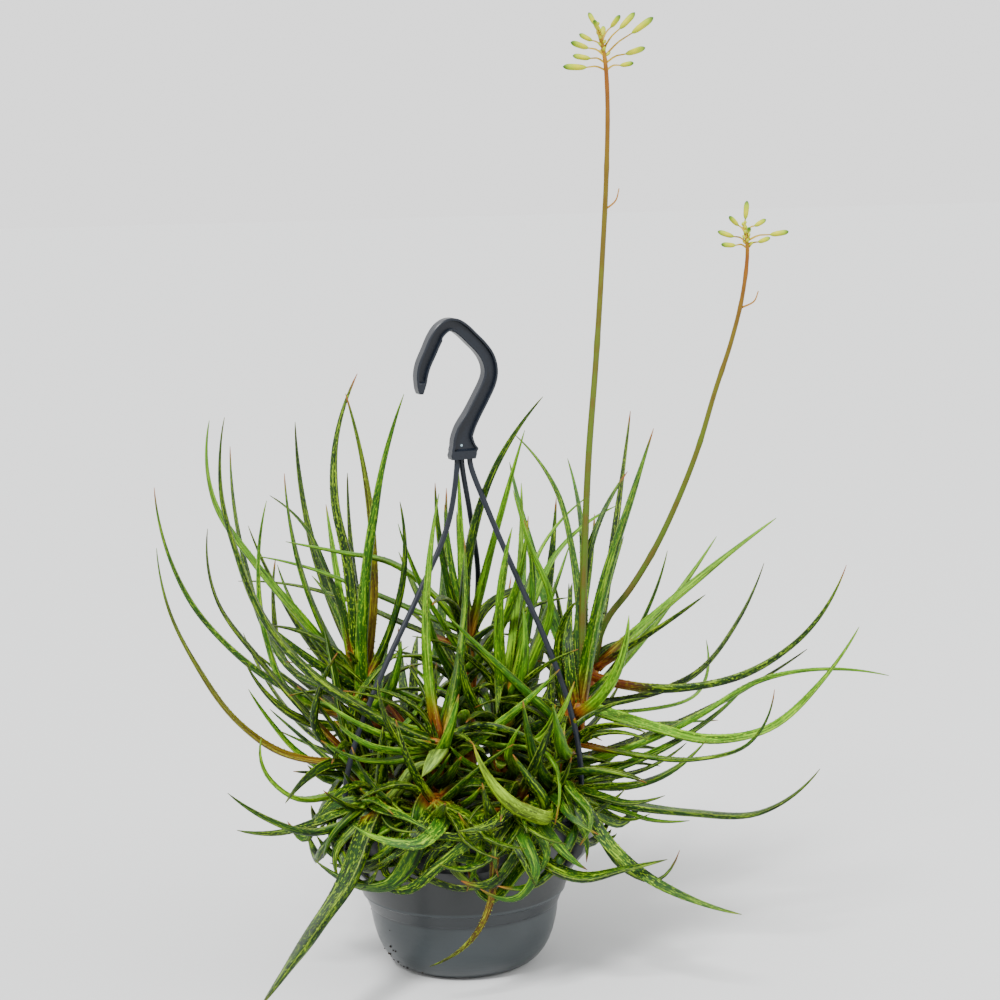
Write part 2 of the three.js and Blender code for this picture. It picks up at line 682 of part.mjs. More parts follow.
      [0.7, 4.4, [-52, -66, 108], [-62, -76, 92], [-54, -82, 80]],
      [0.6, 4.1, [-42, -72, 107], [-48, -86, 94], [-64, -80, 86]],
    ],
    fill: [4, 160, 340, 50, 75, 0, 60],
  },
  back_left: {
    foot: [-24, 46],
    top: [-30, 52, 128],
    leaves: [],
    fill: [12, 60, 200, 70, 210, 13, 70],
  },
  back_right: {
    foot: [34, 50],
    top: [38, 56, 130],
    leaves: [],
    fill: [12, -10, 120, 70, 210, 14, 70],
  },
};

for (const head of Object.values(heads)) {
  const [x, y] = head.foot;
  const foot = [x, y, SOIL_HEIGHT - STEM_SUNK];
  const [topX, topY, topZ] = head.top;
  const kneeHeight = SOIL_HEIGHT + (topZ - SOIL_HEIGHT) * KNEE_UP;
  const knee = [x + (topX - x) * KNEE_OUT, y + (topY - y) * KNEE_OUT, kneeHeight];
  head.curve = new THREE.CatmullRomCurve3([foot, [x, y, SOIL_HEIGHT], knee, head.top].map(point));
}

// The point of a head's stem at a share of its height over the soil
function onStem(head, share) {
  const [x, y] = head.foot;
  const [topX, topY, topZ] = head.top;
  const lean = (share * share + share) / 2;
  return point([x + (topX - x) * lean, y + (topY - y) * lean, SOIL_HEIGHT + (topZ - SOIL_HEIGHT) * share]);
}

// The point of a smooth line through a few points, at a share of the way along them
function through(points, share) {
  const last = points.length - 1;
  const places = [0];
  for (let i = 1; i <= last; i++) places.push(places[i - 1] + points[i].distanceTo(points[i - 1]));
  const slope = (from, to) => points[to].clone().sub(points[from]).divideScalar(places[to] - places[from]);
  const slopes = points.map((_, i) => slope(Math.max(i - 1, 0), Math.min(i + 1, last)));
  slopes[0].multiplyScalar(2).sub(slopes[1]);
  slopes[last].multiplyScalar(2).sub(slopes[last - 1]);
  const at = share * places[last];
  let low = 0;
  while (low < last - 1 && at > places[low + 1]) low++;
  const span = places[low + 1] - places[low];
  const t = (at - places[low]) / span;
  return new THREE.Vector3()
    .addScaledVector(points[low], (1 + 2 * t) * (1 - t) * (1 - t))
    .addScaledVector(slopes[low], span * t * (1 - t) * (1 - t))
    .addScaledVector(points[low + 1], t * t * (3 - 2 * t))
    .addScaledVector(slopes[low + 1], span * t * t * (t - 1));
}

// Half width of a leaf at a share of its length: a clasping root, a long even stretch, a slender tip
function halfWidth(half, share) {
  const clasp = 1 + CLASP * Math.pow(1 - share, CLASP_FADE);
  return half * (1 - Math.pow(share, TAPER)) * clasp + TIP_HALF * share;
}

// The leaf's middle line as a chain of points
function chainOf(head, name, half, points, seed) {
  const length = points.reduce((sum, p, i) => (i ? sum + p.distanceTo(points[i - 1]) : 0), 0);
  const least = Math.max(points.length, LEAST_STRETCHES);
  const count = THREE.MathUtils.clamp(Math.round(length / RING_SPACING), least, MOST_STRETCHES);
  const line = [];
  for (let i = 0; i <= count; i++) line.push(through(points, i / count));
  const radii = line.map((_, i) => halfWidth(half, i / count) + LEAF_ROOM);
  return { head, name, half, line, radii, seed, loose: true };
}

const leaves = [];
Object.entries(heads).forEach(([name, head], headNumber) => {
  head.leaves.forEach(([share, half, ...way], i) => {
    const seed = headNumber * SEEDS_A_HEAD + i;
    leaves.push(chainOf(head, name, half, [onStem(head, share), ...way.map(point)], seed));
  });
  const [count, first, last, shortest, longest, lowest, highest] = head.fill;
  for (let i = 0; i < count; i++) {
    const seed = headNumber * SEEDS_A_HEAD + FILL_SEED + i;
    const place = (i + 0.5) / count;
    const turn = (place * GOLDEN * count) % 1;
    const bearing = radians(first + (last - first) * turn + FILL_STRAY * (draw(seed) - 0.5));
    const lift = radians(lowest + (highest - lowest) * place);
    const length = longest + (shortest - longest) * draw(seed + 0.3);
    const root = onStem(head, FILL_START + (1 - FILL_START) * place);
    const out = point([Math.cos(bearing), Math.sin(bearing), 0]);
    const reach = (share, angle) =>
      root.clone().addScaledVector(out, share * length * Math.cos(angle)).add(
        point([0, 0, share * length * Math.sin(angle)]),
      );
    const low = lift + radians(FILL_BEND * (draw(seed + 0.8) - FILL_SAG));
    const half = FILL_HALF + FILL_HALF_MORE * draw(seed + 0.6);
    leaves.push(chainOf(head, name, half, [root, reach(0.5, low), reach(1, lift)], seed));
  }
});

// What the leaves bend clear of and never moves: stems, wires, stalks and lugs
const fixed = [];
function fix(curve, steps, radius, head = null) {
  const line = curve.getSpacedPoints(steps);
  fixed.push({ head, line, radii: line.map(() => radius), loose: false });
}
for (const head of Object.values(heads)) fix(head.curve, 4, STEM_RADIUS + STEM_ROOM, head);
for (const wire of Object.values(wires)) fix(wire.curve, 16, WIRE_RADIUS);
for (const stalk of Object.values(stalks)) fix(stalk.curve, 16, stalk.radius, heads[stalk.head]);
for (const angle of Object.values(LUG_ANGLES)) {
  const [x, y] = aroundAxis(angle, LUG_RADIUS);
  const middle = new THREE.LineCurve3(point([x, y, LUG_FLOOR]), point([x, y, LUG_TOP - RIM_ROOM]));
  fix(middle, 2, LUG_WIDTH / 2 + LUG_ROOM);
}

// Where two straight stretches come nearest: the share of each, and the way from the second to the first
function nearest(a, b, c, d) {
  const u = b.clone().sub(a);
  const v = d.clone().sub(c);
  const w = a.clone().sub(c);
  const uu = u.dot(u);
  const vv = v.dot(v);
  const uv = u.dot(v);
  const uw = u.dot(w);
  const vw = v.dot(w);
  const clamp = (value) => Math.min(1, Math.max(0, value));
  let s = clamp((uv * vw - uw * vv) / Math.max(uu * vv - uv * uv, 1e-9));
  let t = (uv * s + vw) / vv;
  if (t < 0) {
    t = 0;
    s = clamp(-uw / uu);
  } else if (t > 1) {
    t = 1;
    s = clamp((uv - uw) / uu);
  }
  const way = w.addScaledVector(u, s).addScaledVector(v, -t);
  return { s, t, way };
}

// One push on a chain at a share of its length: it swings the whole leaf beyond, and less towards the root
function push(chain, place, way, strength = 1) {
  const last = chain.line.length - 1;
  const at = Math.max(place, STIFF_ROOT);
  for (let i = 1; i <= last; i++) {
    const weight = Math.pow(Math.min(1, i / last / at), SWING);
    chain.move[i].addScaledVector(way, weight * strength);
    chain.weight[i] += weight * strength;
  }
}

// The pot, soil and floor push a leaf off, at a few spots on each stretch. One across the rim is lifted
function pushOffPot(chain) {
  const last = chain.line.length - 1;
  const middle = RIM_RADIUS - RIM_MIDDLE;
  const away = chain.line.map((p) => Math.hypot(p.x, p.y) - middle);
  for (let i = 1; i <= last * POT_SPOTS; i++) {
    const step = i / POT_SPOTS;
    const low = Math.min(Math.floor(step), last - 1);
    const share = step - low;
    const at = chain.line[low].clone().lerp(chain.line[low + 1], share);
    const radius = chain.radii[low] + (chain.radii[low + 1] - chain.radii[low]) * share + LEAF_GAP;
    const out = Math.hypot(at.x, at.y);
    const beside = out - middle;
    const above = at.z - (POT_HEIGHT - RIM_ROUND);
    const need = radius + RIM_ROOM;
    const crosses = away[low] < 0 !== away[low + 1] < 0;
    const distance = above > 0 ? Math.hypot(beside, above) : Math.abs(beside);
    if (distance < need && crosses) {
      push(chain, step / last, point([0, 0, Math.sqrt(need * need - beside * beside) - above]), POT_PUSH);
    } else if (distance < need && distance > 0) {
      const depth = (need - distance) / distance;
      const sideways = (beside * depth) / out;
      const lift = above > 0 ? above * depth : 0;
      push(chain, step / last, point([at.x * sideways, at.y * sideways, lift]), POT_PUSH);
    }
    const ground = beside < 0 ? SOIL_HEIGHT + 1 : 0;
    if (at.z < ground + radius && step > 1) {
      push(chain, step / last, point([0, 0, ground + radius - at.z]), POT_PUSH);
    }
  }
}

function separate(one, two) {
  const same = one.head === two.head;
  if (same && !two.loose) return;
  const lastOne = one.line.length - 1;
  const lastTwo = two.line.length - 1;
  for (let i = 0; i < lastOne; i++) {
    for (let j = 0; j < lastTwo; j++) {
      const reach = one.radii[i] + two.radii[j] + HEAD_GAP;
      const span = one.stretch[i] + two.stretch[j];
      if (one.line[i].distanceTo(two.line[j]) > reach + span) continue;
      const { s, t, way } = nearest(one.line[i], one.line[i + 1], two.line[j], two.line[j + 1]);
      if (same && (i + s) * one.stretch[i] < ROOT_ZONE && (j + t) * two.stretch[j] < ROOT_ZONE) continue;
      const wide = one.radii[i] + (one.radii[i + 1] - one.radii[i]) * s;
      const wideTwo = two.radii[j] + (two.radii[j + 1] - two.radii[j]) * t;
      const need = same ? (wide + wideTwo) * SAME_HEAD + LEAF_GAP : wide + wideTwo + HEAD_GAP;
      const distance = way.length();
      if (distance >= need) continue;
      if (distance < 1e-6) way.set(0, one.seed % 2 ? 1 : -1, 0);
      else way.multiplyScalar(1 / distance);
      const placeOne = (i + s) / lastOne;
      const placeTwo = (j + t) / lastTwo;
      const shareOne = two.loose ? placeOne / (placeOne + placeTwo) : 1;
      const depth = need - distance;
      push(one, placeOne, way.clone().multiplyScalar(depth * shareOne));
      if (two.loose) push(two, placeTwo, way.clone().multiplyScalar(-depth * (1 - shareOne)));
    }
  }
}

// A leaf's bend is shared along it, so that it stays a smooth line
function ease(leaf) {
  const bend = leaf.line.map((p, i) => p.clone().sub(leaf.rest[i]));
  for (let i = 1; i < leaf.line.length - 1; i++) {
    const around = bend[i - 1].clone().add(bend[i + 1]).multiplyScalar(0.5);
    leaf.line[i].addScaledVector(around.sub(bend[i]), EASE);
  }
}

// Every leaf is bent, a little each round, until none touches another head's, a wire, a stalk or the pot
function bendClear() {
  const stretches = (chain) => chain.line.slice(1).map((p, i) => p.distanceTo(chain.line[i]));
  for (const chain of [...leaves, ...fixed]) chain.stretch = stretches(chain);
  for (const leaf of leaves) leaf.rest = leaf.line.map((p) => p.clone());
  for (let round = 0; round < ROUNDS; round++) {
    for (const leaf of leaves) {
      leaf.move = leaf.line.map(() => new THREE.Vector3());
      leaf.weight = leaf.line.map(() => 0);
    }
    leaves.forEach((leaf, i) => {
      for (let j = i + 1; j < leaves.length; j++) separate(leaf, leaves[j]);
      for (const other of fixed) separate(leaf, other);
      pushOffPot(leaf);
    });
    for (const leaf of leaves) {
      leaf.line.forEach((p, i) => p.addScaledVector(leaf.move[i], 1 / Math.max(1, leaf.weight[i])));
      if (round < EASED_ROUNDS) ease(leaf);
      for (let i = 1; i < leaf.line.length; i++) {
        const way = leaf.line[i].clone().sub(leaf.line[i - 1]).setLength(leaf.stretch[i - 1]);
        leaf.line[i].copy(leaf.line[i - 1]).add(way);
      }
    }
  }
}
bendClear();

// A leaf as a closed skin round its bent line: a flat upper face between two margins, and a keel below,
// with a soft tooth on the two margins by turns, from past the root out to the tip
function leafSolid(leaf) {
  const { line, half, seed } = leaf;
  const last = line.length - 1;
  const positions = [];
  const triangles = [];
  const add = (p) => positions.push(p.x, p.y, p.z) / 3 - 1;
  const reach = line[last].clone().sub(line[0]);
  const side = new THREE.Vector3(-reach.y, reach.x, 0).normalize();
  side.applyAxisAngle(line[1].clone().sub(line[0]).normalize(), radians(ROLL * (draw(seed + 0.9) - 0.5)));
  const rings = [];
  for (let i = 0; i < last; i++) {
    const tangent = line[Math.min(i + 1, last)].clone().sub(line[Math.max(i - 1, 0)]).normalize();
    side.addScaledVector(tangent, -side.dot(tangent)).normalize();
    const up = new THREE.Vector3().crossVectors(tangent, side);
    const wide = halfWidth(half, i / last);
    const at = (across, over, along) => {
      const corner = line[i].clone().addScaledVector(side, across).addScaledVector(up, over);
      return add(corner.addScaledVector(tangent, along));
    };
    const margin = (way) =>
      i > (last > 3 ? 1 : 0) && way === (i % 2 ? 1 : -1)
        ? [
            at(way * wide, 0, -TOOTH_BASE / 2),
            at(way * (wide + TOOTH), 0, TOOTH_BASE * TOOTH_LEAN),
            at(way * wide, 0, TOOTH_BASE / 2),
          ]
        : [at(way * wide, 0, 0)];
    rings.push({ left: margin(1), right: margin(-1), keel: at(0, -Math.max(wide * KEEL, LEAST_KEEL), 0) });
  }
  const tip = add(line[last]);
  const face = (a, b, c) => triangles.push(a, b, c);
  rings.forEach((ring, i) => {
    const { left, right, keel } = ring;
    for (let k = 1; k < left.length; k++) {
      face(left[k], left[k - 1], right[0]);
      face(left[k - 1], left[k], keel);
    }
    for (let k = 1; k < right.length; k++) {
      face(right[k - 1], right[k], left[0]);
      face(right[k], right[k - 1], keel);
    }
    const corners = [left.at(-1), right.at(-1), keel];
    const next = rings[i + 1];
    const beyond = next ? [next.left[0], next.right[0], next.keel] : [tip, tip, tip];
    for (let k = 0; k < 3; k++) {
      const other = (k + 1) % 3;
      face(corners[k], corners[other], beyond[other]);
      if (next) face(corners[k], beyond[other], beyond[k]);
    }
  });
  const root = rings[0];
  face(root.left[0], root.keel, root.right[0]);
  const geometry = new THREE.BufferGeometry();
  geometry.setAttribute("position", new THREE.Float32BufferAttribute(positions, 3));
  geometry.setIndex(triangles);
  return solid(geometry);
}

function stemRod(head, extra) {
  return rod(head.curve, STEM_RADIUS - STEM_SWELL + extra, STEM_RADIUS + extra, STEM_SIDES, STEM_STEPS);
}

function makeHead(name) {
  const head = heads[name];
  const blades = leaves.filter((leaf) => leaf.head === head).map(leafSolid);
  let whole = joined([stemRod(head, 0), ...blades]);
  for (const stalk of Object.values(stalks)) {
    if (stalk.head === name) whole = whole.subtract(stalkRod(stalk, CLEARANCE));
  }
  return whole.decompose().sort((one, other) => other.volume() - one.volume())[0];
}

function makeSoil() {
  const inset = WALL + CLEARANCE;
  const wall = [...bowlOutline(inset, 2), ...collarInside(inset).slice(1).reverse()];
  const rim = [[RIM_RADIUS - inset, SOIL_HEIGHT - SOIL_CROWN], [RIM_RADIUS - SOIL_EDGE, SOIL_HEIGHT]];
  const outline = [[0, inset], ...wall, ...rim, [0, SOIL_HEIGHT + SOIL_CROWN]];
  let soil = solid(turned(outline, POT_SIDES));
  for (const head of Object.values(heads)) soil = soil.subtract(stemRod(head, CLEARANCE));
  return soil;
}

addPart("pot", makePot(), MATERIALS.pot);
addPart("soil", makeSoil(), MATERIALS.soil);
addPart("hook", makeHook(), MATERIALS.hook);
for (const [name, wire] of Object.entries(wires)) {
  addPart("wire_" + name, wireRod(wire, WIRE_RADIUS), MATERIALS.hook);
}
for (const name of Object.keys(heads)) addPart("head_" + name, makeHead(name), MATERIALS.leaf);
addPart("flower_stalk_tall", makeStalk(stalks.tall, 0.74, [0.7, 0, 1]), MATERIALS.stalk);
addPart("flower_stalk_short", makeStalk(stalks.short, 0.83, [1, 0, 0.9]), MATERIALS.stalk);

export default part;
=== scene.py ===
# A spider aloe in its hanging pot, dressed around the frame that part.mjs gives. Lengths are millimetres, as
# there, and become metres when a piece's mesh is made
import math
import bmesh
import bpy
import numpy as np
from mathutils import Matrix, Vector


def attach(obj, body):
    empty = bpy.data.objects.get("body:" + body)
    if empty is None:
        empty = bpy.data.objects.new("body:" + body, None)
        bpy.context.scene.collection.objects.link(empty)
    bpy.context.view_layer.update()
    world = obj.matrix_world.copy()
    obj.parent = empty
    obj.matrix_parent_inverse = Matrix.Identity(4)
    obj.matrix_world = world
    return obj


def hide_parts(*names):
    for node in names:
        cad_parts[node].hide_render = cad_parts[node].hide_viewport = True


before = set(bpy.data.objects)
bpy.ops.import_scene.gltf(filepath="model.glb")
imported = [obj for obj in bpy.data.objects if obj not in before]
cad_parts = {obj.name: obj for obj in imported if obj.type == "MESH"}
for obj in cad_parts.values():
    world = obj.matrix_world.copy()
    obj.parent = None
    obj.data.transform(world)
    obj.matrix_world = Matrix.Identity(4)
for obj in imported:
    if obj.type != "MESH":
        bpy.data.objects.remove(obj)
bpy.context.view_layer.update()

MM = 0.001

# Camera: where the photograph was taken from, with the picture turned a little to the left
CAMERA_PLACE = (0, -1.4, 0.5)
CAMERA_YAW = 1.1457
CAMERA_PITCH = 8.904
CAMERA_ROLL = 1.5
CAMERA_LENS = 86.24

# Pot and hanger, as in part.mjs
RIM_RADIUS = 75
POT_HEIGHT = 99.4
COLLAR_HEIGHT = 76
STEP_RADIUS = 61
STEP_HEIGHT = 45
BELT_RADIUS = 57
BELT_HEIGHT = 37
BASE_RADIUS = 38
BOWL_SWELL = 16
BOWL_HEEL = 5
ROUNDING = 0.8
LEDGE = 0.6
LEDGE_HEIGHT = 1.2
BEAD = 1.2
BEAD_HEIGHT = 2.6
RIM_LEAN = 0.2
WALL = 1.8
DRAIN_RADIUS = 4
DRAIN_CIRCLE = 25
DRAIN_COUNT = 5
SOIL_HEIGHT = 88
SOIL_CROWN = 2
SOIL_EDGE = 9
CLEARANCE = 0.3
WIRE_RADIUS = 1.7
LUG_RADIUS = 80
LUG_WIDTH = 12
LUG_OUT = 84
LUG_TOP = 98
LUG_FLOOR = 58
LUG_SOCKET = 12
LUG_SUNK = 1
LUG_SWELL = 0.6
LUG_FACE = 14
LUG_CHIN = 22
LUG_CHIN_IN = 2
LUG_HEEL = 5
LUG_ANGLES = {"left": 212, "right": 332, "back": 92}
HOOK_DEPTH = 8
HOOK_RIM = 1.7
HOOK_WEB = 3
HOOK_X = 7
HOOK_FOOT = 306
HOOK_TURN = 20
SOCKET_DEPTH = 5

# Plant, as in part.mjs
BUD_RISE = 1.5
BRACT_LENGTH = 15
BRACT_CURL = 3
TIP_HALF = 0.4
TAPER = 2.2
CLASP = 0.3
CLASP_FADE = 6
ROLL = 70
LEAST_STRETCHES = 3
MOST_STRETCHES = 6
FILL_HALF = 3
FILL_HALF_MORE = 1.6
FILL_START = 0.35
FILL_STRAY = 14
FILL_BEND = 34
FILL_SAG = 0.7
SEEDS_A_HEAD = 40
FILL_SEED = 20
RING_SPACING = 42
STEM_RADIUS = 5.2
STEM_SWELL = 0.6
STEM_SUNK = 22
KNEE_OUT = 0.35
KNEE_UP = 0.45
ROUNDS = 150
EASED_ROUNDS = 90
POT_PUSH = 4
HEAD_GAP = 1.0
LEAF_GAP = 0.4
LEAF_ROOM = 0.6
STEM_ROOM = 0.8
LUG_ROOM = 1
RIM_ROOM = 2
RIM_MIDDLE = 0.4
RIM_ROUND = 1.6
SAME_HEAD = 0.8
ROOT_ZONE = 30
STIFF_ROOT = 0.12
SWING = 1.5
EASE = 0.3
POT_SPOTS = 4
GOLDEN = 1.618


# Helpers for every piece
def draw(number):
    """The same draw from 0 to 1 for the same number, as in part.mjs"""
    wave = math.sin(number * 12.9898 + 4.1414) * 43758.5453
    return wave - math.floor(wave)


def drawn(least, stray, number):
    return least + stray * draw(number)


def unit(vector):
    return vector / np.linalg.norm(vector)


def polar(radius, angle, height=0):
    return radius * math.cos(angle), radius * math.sin(angle), height


class Curve:
    """A smooth line through points, as three.js's centripetal CatmullRomCurve3"""

    def __init__(self, points, divisions=200):
        self.points = np.array(points, float)
        samples = np.array([self.point(i / divisions) for i in range(divisions + 1)])
        steps = np.linalg.norm(np.diff(samples, axis=0), axis=1)
        self.lengths = np.concatenate([[0], np.cumsum(steps)])
        self.shares = np.linspace(0, 1, divisions + 1)

    def point(self, share):
        last = len(self.points) - 1
        low = min(int(share * last), last - 1)
        t = share * last - low
        p = self.points
        before = p[low - 1] if low > 0 else 2 * p[0] - p[1]
        after = p[low + 2] if low + 2 <= last else 2 * p[last] - p[last - 1]
        a, b = p[low], p[low + 1]
        da, db, dc = (math.sqrt(np.linalg.norm(v)) for v in (a - before, b - a, after - b))
        start = ((a - before) / da - (b - before) / (da + db) + (b - a) / db) * db
        end = ((b - a) / db - (after - a) / (db + dc) + (after - b) / dc) * db
        return a + start * t + (3 * (b - a) - 2 * start - end) * t**2 + (2 * (a - b) + start + end) * t**3

    def at(self, share):
        """The point at a share of the curve's length"""
        return self.point(float(np.interp(share * self.lengths[-1], self.lengths, self.shares)))

    def spaced(self, steps):
        return np.array([self.at(i / steps) for i in range(steps + 1)])


def mesh_of(name, bm):
    mesh = bpy.data.meshes.new(name)
    bm.to_mesh(mesh)
    bm.free()
    return mesh


def add_object(name, data):
    made = bpy.data.objects.new(name, data)
    bpy.context.collection.objects.link(made)
    return made


def finish_piece(name, mesh, materials, replaces=True):
    """The mesh as a smooth-shaded piece that rides on the root and replaces the node of its name"""
    for material in materials:
        mesh.materials.append(material)
    mesh.polygons.foreach_set("use_smooth", [True] * len(mesh.polygons))
    piece = add_object(name, mesh)
    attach(piece, "root")
    if replaces:
        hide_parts(name)
    return piece


def mesh_piece(name, bm, materials, replaces=True):
    """The bmesh, in millimetres, as a piece"""
    bmesh.ops.scale(bm, vec=(MM, MM, MM), verts=bm.verts)
    return finish_piece(name, mesh_of(name, bm), materials, replaces)


def crisp(piece, angle):
    """Edges sharper than the angle stay crisp under smooth shading"""
    bm = bmesh.new()
    bm.from_mesh(piece.data)
    for edge in bm.edges:
        edge.smooth = not (edge.is_manifold and edge.calc_face_angle() > math.radians(angle))
    bm.to_mesh(piece.data)
    bm.free()


def paint(verts, number):
    """The faces of these corners take the piece's material of that number"""
    for face in {face for vertex in verts for face in vertex.link_faces}:
        face.material_index = number


def colour(code):
    """An sRGB hex colour as linear RGBA"""
    parts = [int(code[i : i + 2], 16) / 255 for i in (1, 3, 5)]
    return tuple(c / 12.92 if c <= 0.04045 else ((c + 0.055) / 1.055) ** 2.4 for c in parts) + (1,)


def new_material(name, **values):
    """A material with a Principled shader whose sockets take the values: it, the sockets and its link call"""
    material = bpy.data.materials.new(name)
    material.use_nodes = True
    shader = material.node_tree.nodes["Principled BSDF"]
    for socket, value in values.items():
        shader.inputs[socket.replace("_", " ")].default_value = value
    return material, shader.inputs, material.node_tree.links.new


# Settings that several nodes have
COLOURS = {"data_type": "RGBA"}
TINTED = {"data_type": "RGBA", "blend_type": "MULTIPLY"}
TIMES = {"operation": "MULTIPLY"}


def add_node(material, kind, settings=(), stops=(), **links):
    """A shader node with its settings and its ramp's stops. Each link is named for its input, or its number
    after a line, and comes from a socket, from a node's first open output or from a value"""
    node = material.node_tree.nodes.new("ShaderNode" + kind)
    for key, value in dict(settings).items():
        setattr(node, key, value)
    for i, (place, value) in enumerate(stops):
        element = node.color_ramp.elements[i] if i < 2 else node.color_ramp.elements.new(place)
        element.position = place
        element.color = colour(value) if isinstance(value, str) else (value, value, value, 1)
    for key, value in links.items():
        socket = node.inputs[int(key[1:]) if key[1:].isdigit() else key.replace("_", " ")]
        if isinstance(value, bpy.types.Node):
            value = next(output for output in value.outputs if output.enabled)
        if isinstance(value, bpy.types.NodeSocket):
            material.node_tree.links.new(value, socket)
        else:
            socket.default_value = value
    return node


